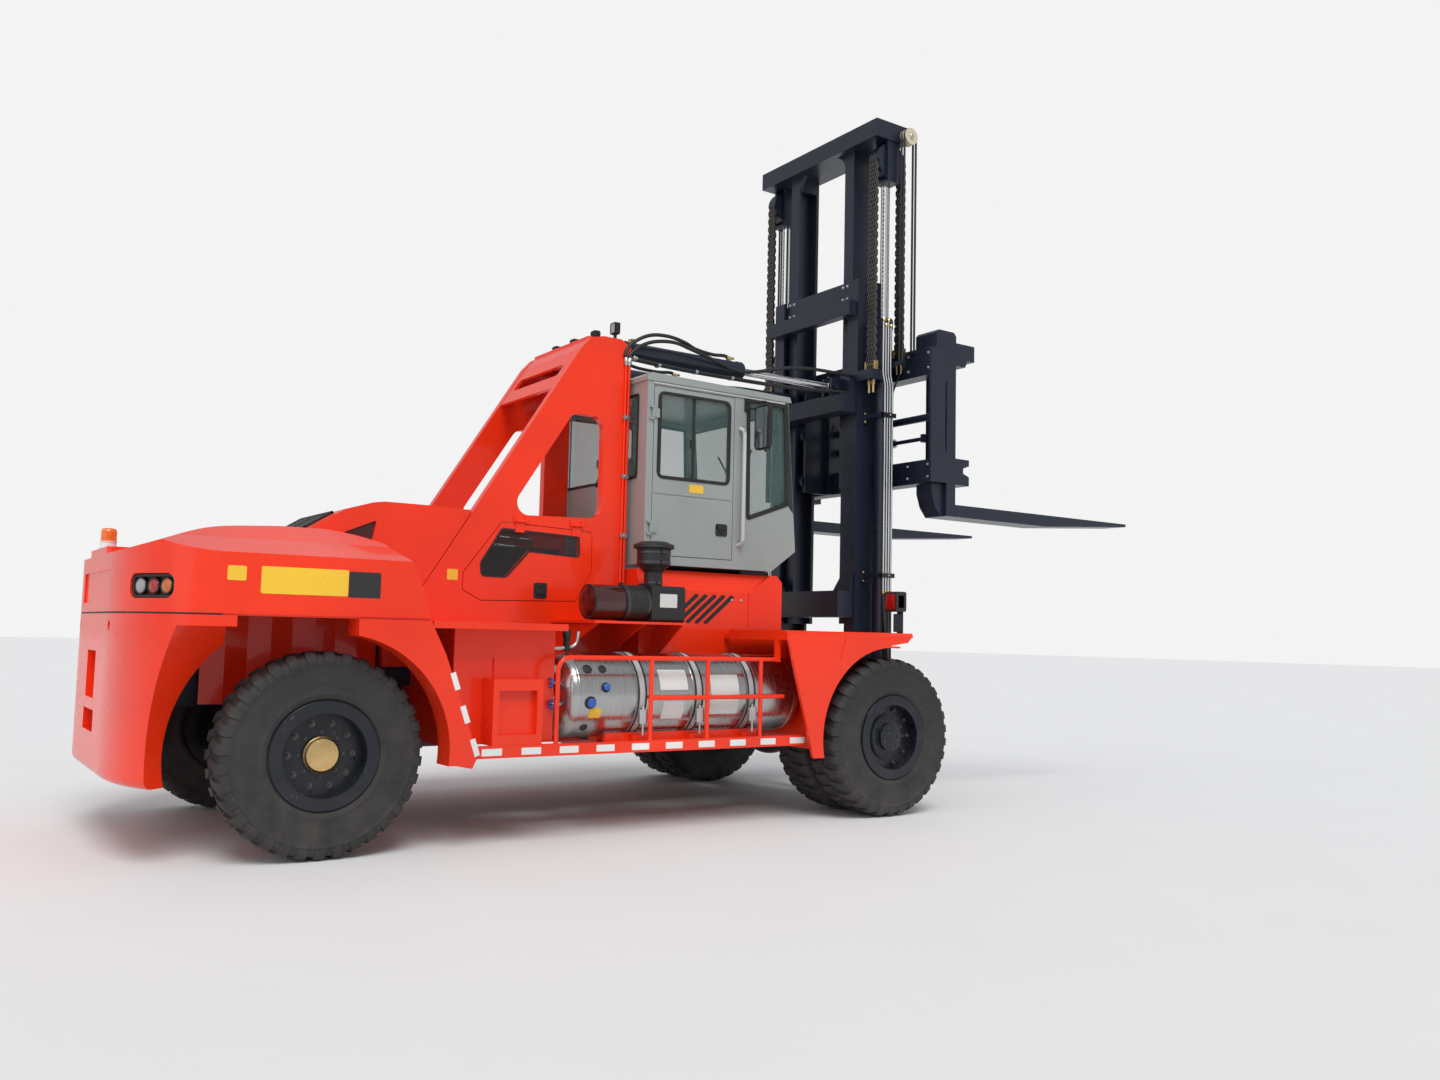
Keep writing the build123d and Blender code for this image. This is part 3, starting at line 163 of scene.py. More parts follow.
class Shape:
    """The points and faces of one piece. Each way of adding to it gives it back."""

    def __init__(self, side=LEFT):
        self.side, self.points, self.faces = side, [], []

    def add(self, points, faces):
        first = len(self.points)
        self.points += [(p[0] + AXLE, p[1] * self.side, p[2]) for p in points]
        self.faces += [[first + i for i in face] for face in faces]
        return self

    def rings(self, rings, capped=True, looped=False):
        """Skins a row of equal rings of points."""
        size, count = len(rings[0]), len(rings)
        faces = []
        for r in range(count if looped else count - 1):
            a, b = r * size, (r + 1) % count * size
            faces += [[a + i, a + (i + 1) % size, b + (i + 1) % size, b + i] for i in range(size)]
        if capped:
            faces += [list(range(size))[::-1], [(count - 1) * size + i for i in range(size)]]
        return self.add([p for ring in rings for p in ring], faces)

    def lathe(self, profile, centre, axis=OUT, sides=40, looped=False):
        """Turns (radius, along) points round an axis through centre."""
        centre, axis = Vector(centre), axis.normalized()
        first, second = across(axis)
        spokes = [first * c + second * s for s, c in circle(sides, 1)]
        rings = [[centre + axis * along + spoke * radius for spoke in spokes] for radius, along in profile]
        return self.rings(rings, not looped, looped)

    def hoop(self, profile, centre, axis=OUT, sides=44):
        """A closed ring: its profile closes on itself."""
        return self.lathe(profile, centre, axis, sides, looped=True)

    def strap(self, radius, wide, thick, centre, axis=OUT, sides=44, ease=0.002):
        """A flat hoop round something round, with eased edges."""
        outer = radius + thick
        profile = [(radius, 0), (outer, ease), (outer, wide - ease), (radius, wide)]
        return self.hoop(profile, centre, axis, sides)

    def rod(self, start, end, radius, sides=16):
        """A round bar with slightly eased ends."""
        run = Vector(end) - Vector(start)
        long, e = run.length, min(radius * 0.15, run.length * 0.2)
        return self.lathe([(radius - e, 0), (radius, e), (radius, long - e), (radius - e, long)], start, run, sides)

    def block(self, low, high):
        points = [(x, y, z) for x in (low[0], high[0]) for y in (low[1], high[1]) for z in (low[2], high[2])]
        return self.add(points, [[0, 1, 3, 2], [4, 6, 7, 5], [0, 4, 5, 1], [2, 3, 7, 6], [0, 2, 6, 4], [1, 5, 7, 3]])

    def slab(self, outline, thick):
        """A flat outline of places, made thick along a direction."""
        return self.rings([outline, [Vector(p) + thick for p in outline]])

    def beam(self, section, y0, y1):
        """A bar across the truck from y0 to y1."""
        return self.slab([Vector(p) + OUT * y0 for p in section], OUT * (y1 - y0))

    def plate(self, outline, depth, thick, forwards=False):
        """A flat outline set on the side or facing forwards."""
        return self.slab(set_at(outline, depth, forwards), (ALONG if forwards else OUT) * thick)

    def band(self, inner, outer, thick):
        """A flat closed strip between two outlines of as many points."""
        return self.rings([[p, q, q + thick, p + thick] for p, q in zip(inner, outer)], False, True)

    def trim(self, outline, inner, outer, depth, thick, forwards=False):
        """A strip round an outline, from inner to outer past it, on the side or facing forwards."""
        edges = [set_at(grown(outline, reach), depth, forwards) for reach in (inner, outer)]
        return self.band(*edges, (ALONG if forwards else OUT) * thick)

    def pipe(self, route, radius, sides=12):
        """A round pipe or hose along a smooth route."""
        route = [Vector(p) for p in route]
        rings, side = [], None
        for before, here, after in zip(route[:1] + route, route, route[1:] + route[-1:]):
            run = (after - before).normalized()
            side = (side - run * side.dot(run)).normalized() if side is not None else across(run)[0]
            other = run.cross(side)
            rings.append([here + side * c + other * s for s, c in circle(sides, radius)])
        return self.rings(rings)

    def nut(self, centre, axis=OUT, size=0.018, tall=0.014):
        """A hexagon nut on a washer, with the stud's end standing out of it."""
        self.lathe([(size * 1.25, 0), (size * 1.25, tall * 0.2)], centre, axis, 16)
        self.lathe([(size, tall * 0.2), (size, tall * 0.9), (size * 0.86, tall)], centre, axis, 6)
        return self.lathe([(size * 0.5, tall), (size * 0.5, tall * 1.45), (size * 0.4, tall * 1.6)], centre, axis, 10)

    def nut_ring(self, count, radius, centre, size, tall, start=0.0):
        for u, v in circle(count, radius, start):
            self.nut(Vector(centre) + Vector((u, 0, v)), OUT, size, tall)

    def make(self, name, look, body="truck", bevel=0.0, angle=32, slot=None):
        """Makes the piece on its body. A name that ends with _ takes the side's word."""
        name += WORD[self.side] if name.endswith("_") else ""
        mesh = bpy.data.meshes.new(name)
        mesh.from_pydata(self.points, [], self.faces)
        form = bmesh.new()
        form.from_mesh(mesh)
        bmesh.ops.recalc_face_normals(form, faces=form.faces)
        form.to_mesh(mesh)
        form.free()
        mesh.shade_smooth()
        mesh.set_sharp_from_angle(angle=radians(angle))
        piece = linked(name, mesh)
        mesh.materials.append(FINISH[look])
        if bevel:
            edge = piece.modifiers.new("eased edges", "BEVEL")
            edge.width, edge.segments, edge.limit_method = bevel, 2, "ANGLE"
        if body:
            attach(piece, body)
        return piece


def smooth_route(points, steps=6):
    """A flowing line through its points."""
    points = [Vector(p) for p in points]
    ends = [points[0] * 2 - points[1]] + points + [points[-1] * 2 - points[-2]]
    route = []
    for a, b, c, d in zip(ends, ends[1:], ends[2:], ends[3:]):
        for t in [k / steps for k in range(steps)]:
            bend = (2 * a - 5 * b + 4 * c - d) * t ** 2 + (3 * b - a - 3 * c + d) * t ** 3
            route.append(0.5 * (2 * b + (c - a) * t + bend))
    return route + points[-1:]


def bent_route(points, bend, steps=5):
    """Straight runs with rounded bends, as a bent pipe has."""
    points = [Vector(p) for p in points]
    route = points[:1]
    for before, here, after in zip(points, points[1:], points[2:]):
        reach = min(bend, (before - here).length * 0.45, (after - here).length * 0.45)
        route += eased(before, here, after, reach, steps)
    return route + points[-1:]


def mirrored(route, side):
    return [Vector((p[0], p[1] * side, p[2])) for p in route]


# ---------------------------------------------------------------- finishes


def node(tree, kind, feeds=None, **settings):
    made = tree.nodes.new("ShaderNode" + kind)
    for name, value in settings.items():
        setattr(made, name, value)
    for socket, value in (feeds or {}).items():
        if isinstance(value, bpy.types.NodeSocket):
            tree.links.new(value, made.inputs[socket])
        else:
            made.inputs[socket].default_value = value
    return made


class Net:
    """A node tree with plain words for the nodes that the finishes share."""

    def __init__(self, tree):
        self.tree = tree

    @property
    def place(self):
        made = self.tree.nodes.get("place") or node(self.tree, "TexCoord", name="place")
        return made.outputs["Object"]

    def maths(self, operation, a, b=0.5):
        return node(self.tree, "Math", {0: a, 1: b}, operation=operation).outputs[0]

    def times(self, a, b):
        return self.maths("MULTIPLY", a, b)

    def plus(self, a, b):
        return self.maths("ADD", a, b)

    def within(self, value):
        return node(self.tree, "Clamp", {0: value}).outputs[0]

    def scaled(self, colour, by):
        return node(self.tree, "VectorMath", {0: colour, "Scale": by}, operation="SCALE").outputs[0]

    def mixed(self, share, a, b):
        return node(self.tree, "Mix", {0: share, 6: a, 7: b}, data_type="RGBA").outputs[2]

    def spread(self, value, low, high, to_low=0.0, to_high=1.0):
        return node(self.tree, "MapRange", {0: value, 1: low, 2: high, 3: to_low, 4: to_high}).outputs[0]

    def noise(self, scale, detail=3.0, stretch=None):
        place = self.place
        if stretch:
            place = node(self.tree, "VectorMath", {0: place, 1: stretch}, operation="MULTIPLY").outputs[0]
        return node(self.tree, "TexNoise", {"Vector": place, "Scale": scale, "Detail": detail}).outputs[0]

    def parts(self, vector):
        return node(self.tree, "SeparateXYZ", {0: vector}).outputs

    def feed(self, target, **sources):
        for label, source in sources.items():
            self.tree.links.new(source, target.inputs[label.replace("_", " ")])

    def bump(self, shader, height, strength, distance):
        relief = node(self.tree, "Bump", {"Height": height, "Strength": strength, "Distance": distance})
        self.feed(shader, Normal=relief.outputs[0])


def effect(name, inputs, outputs):
    """A group with named inputs and outputs, placed in several materials."""
    tree = bpy.data.node_groups.new(name, "ShaderNodeTree")
    for label, value in inputs.items():
        kind = {1: "Float", 3: "Vector", 4: "Color"}[len(value) if isinstance(value, tuple) else 1]
        socket = tree.interface.new_socket(label, in_out="INPUT", socket_type="NodeSocket" + kind)
        socket.default_value = value
    for label in outputs:
        kind = "Color" if label == "Colour" else "Float"
        tree.interface.new_socket(label, in_out="OUTPUT", socket_type="NodeSocket" + kind)
    return tree, Net(tree), tree.nodes.new("NodeGroupInput").outputs, tree.nodes.new("NodeGroupOutput")


def weathered_effect():
    """Slight changes of tone, small chips, rain streaks, and road dust low down and on flat tops."""
    tree, net, given, out = effect("weathered finish", {
        "Colour": (0.5, 0.5, 0.5, 1), "Bare Colour": (0.3, 0.3, 0.3, 1), "Dust Colour": (0.3, 0.27, 0.23, 1),
        "Wear": 0.3, "Dust": 0.4, "Dust Height": 1.2, "Roughness": 0.4, "Grain": 300.0},
        ("Colour", "Roughness", "Height"))
    fine = net.noise(38.0, 5.0)
    toned = net.scaled(given["Colour"], net.spread(net.noise(1.1, 4.0), 0.3, 0.7, 0.88, 1.08))
    chips = net.times(net.spread(fine, 0.63, 0.68), net.spread(net.noise(5.0), 0.5, 0.62))
    chips = net.times(chips, given["Wear"])
    streaks = net.spread(net.noise(1.0, 4.0, (26.0, 26.0, 1.3)), 0.5, 0.75)
    height = net.parts(net.place)[2]
    low = net.within(net.maths("SUBTRACT", 1.0, net.maths("DIVIDE", height, given["Dust Height"])))
    facing = net.parts(node(tree, "NewGeometry").outputs["Normal"])[2]
    flat = net.times(net.spread(facing, 0.8, 1.0), 0.35)
    mask = net.plus(low, net.plus(flat, net.times(streaks, 0.1)))
    patches = net.spread(net.noise(7.0, 6.0), 0.25, 0.75)
    dusty = net.within(net.times(net.times(mask, patches), given["Dust"]))
    worn = net.mixed(chips, toned, given["Bare Colour"])
    rough = net.plus(given["Roughness"], net.spread(fine, 0.3, 0.7, -0.05, 0.07))
    net.feed(out, Colour=net.mixed(dusty, worn, given["Dust Colour"]),
             Roughness=net.plus(rough, net.times(net.plus(dusty, chips), 0.3)),
             Height=net.maths("SUBTRACT", net.noise(given["Grain"], 2.0), net.times(chips, 2.0)))
    return tree


def brushed_effect():
    """Fine lines drawn one way over bare metal, with faint stains."""
    tree, net, given, out = effect("brushed metal", {
        "Colour": (0.6, 0.6, 0.6, 1), "Stain Colour": (0.3, 0.28, 0.26, 1), "Stains": 0.3, "Roughness": 0.25,
        "Lines": (4.0, 200.0, 200.0)}, ("Colour", "Roughness", "Height"))
    lines = net.noise(1.0, 3.0, given["Lines"])
    stains = net.times(net.spread(net.noise(3.2, 6.0), 0.5, 0.72), given["Stains"])
    bright = net.scaled(given["Colour"], net.spread(lines, 0.3, 0.7, 0.86, 1.06))
    rough = net.plus(given["Roughness"], net.spread(lines, 0.3, 0.7, -0.06, 0.08))
    net.feed(out, Colour=net.mixed(stains, bright, given["Stain Colour"]),
             Roughness=net.plus(rough, net.times(stains, 0.35)), Height=lines)
    return tree


def woven_effect():
    """Crossing threads, for cloth."""
    tree, net, given, out = effect("woven cloth", {
        "Colour": (0.05, 0.05, 0.06, 1), "Light Colour": (0.1, 0.1, 0.11, 1), "Threads": 420.0}, ("Colour", "Height"))
    threads = {"Vector": net.place, "Scale": given["Threads"], "Distortion": 1.2}
    warp, weft = [node(tree, "TexWave", threads, bands_direction=way).outputs[1] for way in ("DIAGONAL", "Y")]
    weave = net.maths("MAXIMUM", warp, weft)
    share = net.times(weave, net.spread(net.noise(9.0, 4.0), 0.3, 0.7, 0.3, 1.0))
    net.feed(out, Colour=net.mixed(share, given["Colour"], given["Light Colour"]), Height=weave)
    return tree


def punched_effect():
    """Rows of holes through a sheet that stands upright, seen from the side."""
    tree, net, given, out = effect("punched sheet", {"Holes": 60.0, "Size": 0.34}, ("Alpha", "Height"))
    x, _, z = net.parts(net.place)
    flat = node(tree, "CombineXYZ", {0: net.plus(x, z), 1: net.maths("SUBTRACT", x, z)}).outputs[0]
    cells = node(tree, "TexVoronoi", {"Vector": flat, "Scale": given["Holes"], "Randomness": 0.0},
                 voronoi_dimensions="2D").outputs[0]
    net.feed(out, Alpha=net.maths("GREATER_THAN", cells, given["Size"]), Height=cells)
    return tree


WEATHERED, BRUSHED, WOVEN, PUNCHED = weathered_effect(), brushed_effect(), woven_effect(), punched_effect()


def colour(value, by=1.0):
    return (*[c * by for c in value], 1.0)


def blank_material(name, **constants):
    """A material whose shader has the constants set on its own sockets."""
    material = bpy.data.materials.new(name)
    material.use_nodes = True
    shader = next(n for n in material.node_tree.nodes if n.type == "BSDF_PRINCIPLED")
    for socket, value in constants.items():
        shader.inputs[socket.replace("_", " ")].default_value = value
    material.diffuse_color = (0.5, 0.5, 0.5, 1)
    return material, Net(material.node_tree), shader


def skinned(name, group, values, relief, distance, **constants):
    """A material that takes what it needs from one effect."""
    material, net, shader = blank_material(name, **constants)
    skin = node(net.tree, "Group", node_tree=group)
    for label, value in values.items():
        skin.inputs[label.replace("_", " ")].default_value = value
    for label, socket in (("Colour", "Base_Color"), ("Roughness", "Roughness"), ("Alpha", "Alpha")):
        if label in skin.outputs:
            net.feed(shader, **{socket: skin.outputs[label]})
    net.bump(shader, skin.outputs["Height"], relief, distance)
    return material, net, shader, skin


def painted(name, paint, rough, wear=0.3, dust=0.4, dust_height=1.1, grain=260.0, relief=0.06,
            bare=(0.25, 0.24, 0.23), dust_colour=(0.36, 0.32, 0.27), **constants):
    values = {"Colour": colour(paint), "Bare_Colour": colour(bare), "Dust_Colour": colour(dust_colour), "Wear": wear,
              "Dust": dust, "Dust_Height": dust_height, "Roughness": rough, "Grain": grain}
    return skinned(name, WEATHERED, values, relief, 0.002, **constants)[0]


def two_tone(name, low_paint, level, paint, rough, **looks):
    """A painted finish that changes colour at a height."""
    material = painted(name, paint, rough, **looks)
    net = Net(material.node_tree)
    share = net.spread(net.parts(net.place)[2], level - 0.001, level + 0.001)
    skin = next(n for n in net.tree.nodes if n.bl_idname == "ShaderNodeGroup")
    net.feed(skin, Colour=net.mixed(share, colour(low_paint), colour(paint)))
    return material


def metal(name, tint, rough, lines, stains=0.25, relief=0.05, stain=(0.16, 0.14, 0.12)):
    values = {"Colour": colour(tint), "Stain_Colour": colour(stain), "Stains": stains, "Roughness": rough,
              "Lines": lines}
    return skinned(name, BRUSHED, values, relief, 0.001, Metallic=1.0)[0]


def cloth(name, dark, light, threads):
    values = {"Colour": colour(dark), "Light_Colour": colour(light), "Threads": threads}
    return skinned(name, WOVEN, values, 0.4, 0.001, Roughness=0.85, Sheen_Weight=0.25, Sheen_Roughness=0.4)[0]


def mesh_sheet(name, tint, holes, size):
    material, net, shader, _ = skinned(name, PUNCHED, {"Holes": holes, "Size": size}, 0.5, 0.002,
                                       Metallic=0.0, Roughness=0.5)
    net.feed(shader, Base_Color=net.mixed(net.spread(net.noise(6.0), 0.3, 0.7), colour(tint), colour(tint, 1.8)))
    return material


def glazing(name, tint, clear):
    """A tinted pane: it shows more of its own colour where it is seen at a slant."""
    material, net, shader = blank_material(name, Roughness=0.04, IOR=1.5)
    smudge = net.noise(4.0, 5.0)
    slant = node(net.tree, "LayerWeight", {"Blend": 0.35}).outputs["Facing"]
    net.feed(shader, Base_Color=net.mixed(net.spread(smudge, 0.35, 0.7), colour(tint), colour(tint, 1.25)),
             Roughness=net.spread(smudge, 0.3, 0.75, 0.02, 0.12), Alpha=net.spread(slant, 0.1, 1.0, clear, 0.75))
    return material


def lens(name, tint, glow=0.0):
    """Moulded lamp glass with small ribs, bright from inside."""
    material, net, shader = blank_material(name, Roughness=0.12, IOR=1.49, Coat_Weight=0.6, Coat_Roughness=0.05,
                                           Emission_Strength=glow)
    ribs = node(net.tree, "TexVoronoi", {"Vector": net.place, "Scale": 90.0, "Randomness": 0.15}).outputs[0]
    tone = net.mixed(net.spread(ribs, 0.1, 0.8), colour(tint), colour(tint, 0.55))
    net.feed(shader, Base_Color=tone)
    if glow:
        net.feed(shader, Emission_Color=tone)
    net.bump(shader, ribs, 0.25, 0.002)
    return material


VERMILION = (0.86, 0.032, 0.004)
FINISH = {
    "body_paint": painted("vermilion gloss paint", VERMILION, 0.3, wear=0.01, dust=0.08, dust_height=0.9,
                          grain=900.0, relief=0.008, bare=(0.35, 0.03, 0.012), Specular_IOR_Level=0.3,
                          Coat_Weight=0.35, Coat_Roughness=0.05),
    "mast_paint": painted("navy black mast paint", (0.009, 0.014, 0.029), 0.36, dust=0.12, dust_height=1.0,
                          relief=0.05, bare=(0.06, 0.06, 0.07), Specular_IOR_Level=0.4, Coat_Weight=0.15,
                          Coat_Roughness=0.2),
    "rim_paint": painted("navy rim paint", (0.004, 0.007, 0.014), 0.36, wear=0.25, dust=0.06, dust_height=1.5,
                         relief=0.05, Specular_IOR_Level=0.35, Coat_Weight=0.15, Coat_Roughness=0.15),
    "cab_paint": painted("light grey cab paint", (0.29, 0.325, 0.315), 0.34, wear=0.04, dust=0.06, dust_height=2.4,
                         relief=0.05, Coat_Weight=0.35, Coat_Roughness=0.12),
    "tyre": painted("tyre rubber", (0.017, 0.017, 0.018), 0.72, wear=0.25, dust=0.3, dust_height=1.6, grain=420.0,
                    relief=0.3, bare=(0.06, 0.058, 0.055), dust_colour=(0.16, 0.145, 0.125)),
    "bright_steel": metal("hard chrome", (0.78, 0.79, 0.8), 0.12, (220.0, 220.0, 3.0), stains=0.12),
    "tank_steel": metal("rolled stainless steel", (0.47, 0.475, 0.47), 0.22, (160.0, 3.0, 3.0), stains=0.3,
                        stain=(0.24, 0.22, 0.19)),
    "dark_steel": metal("oiled dark steel", (0.1, 0.1, 0.105), 0.38, (60.0,) * 3, stains=0.6, relief=0.2),
    "black_plastic": painted("black moulded plastic", (0.012, 0.012, 0.013), 0.45, wear=0.2, dust=0.2,
                             dust_height=1.4, grain=700.0, relief=0.22, bare=(0.04,) * 3),
    "cream_plastic": painted("cream nylon", (0.62, 0.56, 0.42), 0.4, dust=0.25, grain=400.0, relief=0.1,
                             bare=(0.3, 0.27, 0.2)),
    "orange_lens": lens("orange lamp glass", (0.95, 0.2, 0.02), 0.15),
    "engine_iron": painted("painted iron", (0.05, 0.055, 0.06), 0.6, wear=0.6, dust=0.3, grain=120.0, relief=0.4),
    "seat_fabric": cloth("seat cloth", (0.018, 0.018, 0.022), (0.06, 0.06, 0.07), 90.0),
    "glass": glazing("tinted safety glass", (0.1, 0.19, 0.175), 0.2),
}
# finishes that only added pieces have, under the slot that each counts as
ADDED = {
    "black_plastic": {
        "rubber": painted("black rubber", (0.01, 0.01, 0.011), 0.55, wear=0.15, dust=0.3, dust_height=1.5,
                          grain=500.0, relief=0.2),
        "hose": painted("hose rubber", (0.014, 0.014, 0.015), 0.42, wear=0.25, dust=0.2, dust_height=1.5,
                        grain=350.0, relief=0.15),
        "blue_plastic": painted("blue valve plastic", (0.02, 0.1, 0.42), 0.4, dust=0.2, relief=0.1),
        "canister": painted("dark red canister", (0.045, 0.006, 0.005), 0.2, wear=0.1, dust=0.05, relief=0.02,
                            Coat_Weight=0.5),
        "mesh": mesh_sheet("black expanded mesh", (0.01, 0.01, 0.011), 46.0, 0.33)},
    "bright_steel": {
        "brass": metal("brass cap", (0.72, 0.5, 0.22), 0.28, (90.0,) * 3, stains=0.45, stain=(0.22, 0.17, 0.09)),
        "zinc": metal("yellow zinc fittings", (0.66, 0.5, 0.22), 0.3, (90.0,) * 3, stains=0.3),
        "steel": metal("plain bright steel", (0.6, 0.61, 0.62), 0.3, (120.0,) * 3, stains=0.3),
        "mirror": metal("mirror glass", (0.3, 0.32, 0.34), 0.03, (2.0,) * 3, stains=0.05, relief=0.0)},
    "dark_steel": {
        "chain": metal("oiled chain steel", (0.13, 0.125, 0.12), 0.36, (80.0,) * 3, stains=0.5, relief=0.15),
        # the gas tank's straps: bright bands on red feet
        "strap": two_tone("strap steel and red feet", VERMILION, box("tank_straps")[0].z + 0.076, (0.4, 0.41, 0.41),
                          0.26, wear=0.1, dust=0.05, dust_height=0.9, relief=0.02)},
    "cream_plastic": {
        "white_strip": painted("white reflecting strip", (0.8, 0.8, 0.78), 0.35, wear=0.4, dust=0.25,
                               dust_height=1.2, grain=900.0, relief=0.15),
        "yellow_plate": painted("blank yellow plate", (0.85, 0.52, 0.03), 0.4, wear=0.2, dust=0.15, relief=0.03),
        "black_plate": painted("blank black plate", (0.02,) * 3, 0.35, wear=0.2, dust=0.15, relief=0.03),
        "pale_plate": painted("blank pale plate", (0.62, 0.62, 0.6), 0.4, wear=0.2, dust=0.15, relief=0.03),
        "white_plastic": painted("white lamp base", (0.7, 0.7, 0.68), 0.4, dust=0.2, relief=0.1)},
    "cab_paint": {
        "light_bar": painted("pale grey bar paint", (0.5, 0.52, 0.51), 0.35, wear=0.2, dust=0.1, relief=0.04)},
    "glass": {
        "dark_glass": painted("darkened glass edge", (0.01, 0.016, 0.016), 0.1, wear=0.02, dust=0.05,
                              relief=0.01, Coat_Weight=0.4)},
    "orange_lens": {word + "_lens": lens(word + " lamp glass", tint, 0.02) for word, tint in (
        ("red", (0.42, 0.008, 0.006)), ("amber", (0.62, 0.15, 0.01)), ("clear", (0.38, 0.39, 0.41)))},
}
SLOTS = {slot: slot for slot in FINISH}
for slot, looks in ADDED.items():
    FINISH.update(looks)
    SLOTS.update(dict.fromkeys(looks, slot))


def give_finishes():
    """Each CAD piece takes the finish of its slot in the record."""
    for row in frame["record"]["subparts"]:
        piece = frame["nodes"][row["node"]]
        finish = FINISH["strap" if row["node"] == "tank_straps" else row["material_slot"]]
        for place in piece.material_slots:
            place.material = finish
        if not piece.material_slots:
            piece.data.materials.append(finish)
        piece.data.set_sharp_from_angle(angle=radians(30))


# ---------------------------------------------------------------- wheels

# the tyre's half section, from the bead over the side wall to the tread's middle: (radius, half width)
TYRE_SECTION = pairs(322.5, 160, 352, 166, 366, 170, 372, 180, 388, 187.5, 400, 188.5, 403, 191.2, 413, 191.2,
                     417, 189, 470, 191.5, 520, 192.2, 560, 191.2, 590, 189, 594, 191, 604, 191, 608, 186,
                     630, 182, 648, 174, 660, 160, 665, 130, 667, 60, 667, 0)
# one lug, from the tread's middle over the shoulder: (half width place, foot radius, top radius, half angle, slant)
LUG = [(0.008, 0.662, 0.687, 0.034, 0.05), (0.06, 0.662, 0.688, 0.038, 0.03), (0.12, 0.66, 0.687, 0.043, 0.012),
       (0.15, 0.655, 0.681, 0.047, 0.004), (0.172, 0.64, 0.668, 0.05, 0.0), (0.1865, 0.618, 0.644, 0.05, 0.0),
       (0.192, 0.606, 0.62, 0.044, 0.0)]
LUGS = 34
# flange and lock ring of a rim: (radius, place from the tyre's side)
RIM_RINGS = (pairs(352, -22, 361, -20, 362.5, -8, 355, -2, 344, -6),
             pairs(300, -10, 318, -6, 322, -2, 312, 0, 300, -4))


def add_tyre(shape, x, y):
    centre = Vector((x, y, WHEEL_Z))
    section = TYRE_SECTION + [(r, -w) for r, w in TYRE_SECTION[-2::-1]] + [(0.335, -0.12), (0.335, 0.12)]
    shape.hoop(section, centre, OUT, 136)
    for half in SIDES:
        offset = 0.5 if half * shape.side > 0 else 0
        for turn in [TURN * (k + offset) / LUGS for k in range(LUGS)]:
            rings = []
            for w, foot, top, half_angle, slant in LUG:
                across_lug = ((foot, -1.12), (top, -1), (top, 1), (foot, 1.12))
                corners = [(r, turn + slant + a * half_angle) for r, a in across_lug]
                rings.append([centre + Vector((r * sin(a), half * w, r * cos(a))) for r, a in corners])
            shape.rings(rings)


def wheel_parts():
    for side in SIDES:
        for end, x, tyre_ys, body, stands_for, face, bolts in (
                ("front", 0.0, (FRONT_OUT_Y, FRONT_IN_Y), "front_wheels_", "tyres_front_", 0.095, 0.243),
                ("rear", REAR_AXLE, (REAR_WHEEL_Y,), "rear_wheel_", "tyre_rear_", 0.075, 0.215)):
            body += WORD[side]
            tyre, rim, nuts = Shape(side), Shape(side), Shape(side)
            for y in tyre_ys:
                add_tyre(tyre, x, y)
            for ring in RIM_RINGS:
                rim.hoop(ring, (x, tyre_ys[0] + TYRE_HALF, WHEEL_Z), OUT, 64)
            disc = Vector((x, tyre_ys[0] + face, WHEEL_Z))
            nuts.nut_ring(10, bolts, disc, 0.019, 0.022, 0.5)
            if end == "front":
                hub = Vector((x, FRONT_OUT_Y + 0.11, WHEEL_Z))
                rim.lathe(pairs(196, -60, 204, -55, 204, -30, 186, -4, 186, 6, 150, 14, 150, 20), hub, OUT, 56)
                nuts.nut_ring(12, 0.168, hub, 0.011, 0.014)
                nuts.nut_ring(6, 0.088, hub + OUT * 0.05, 0.009, 0.01, 0.5)
                rim.lathe(pairs(121, 20, 121, 49, 112, 53, 50, 54, 46, 59, 0, 60), hub)
            else:
                cap = Shape(side).lathe(pairs(122, -40, 122, -12, 112, -4, 106, 6, 80, 14, 40, 16, 0, 16),
                                        (x, REAR_WHEEL_Y + 0.12, WHEEL_Z), OUT, 48)
                cap.make("hub_cap_", "brass", body, angle=40)
                nuts.nut_ring(8, 0.15, disc, 0.01, 0.012)
            valve = disc + Vector((0.275, 0, -0.05))
            nuts.pipe(bent_route([valve, valve + OUT * 0.05, valve + Vector((-0.06, 0.07, 0.02))], 0.02), 0.005, 8)
            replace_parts(tyre.make(f"{end}_tyres_", "tyre", body, angle=35), stands_for + WORD[side])
            rim.make(f"{end}_rim_rings_", "rim_paint", body, angle=40)
            nuts.make(f"{end}_wheel_nuts_", "chain", body)


# ---------------------------------------------------------------- tail

# the tail's rounded corner: its reach along the truck and across it
TAIL_LONG, TAIL_WIDE = 0.515, 1.0
TAIL = box("counterweight")[0]
JAW_X = TAIL.x + 0.11


def tail_point(angle, out=0.0):
    """A point on the tail's plan, from straight back at 0 to the side at 90 degrees."""
    a = radians(angle)
    return Vector((TAIL.x + TAIL_LONG - (TAIL_LONG + out) * cos(a), -TAIL.y - TAIL_WIDE + (TAIL_WIDE + out) * sin(a)))


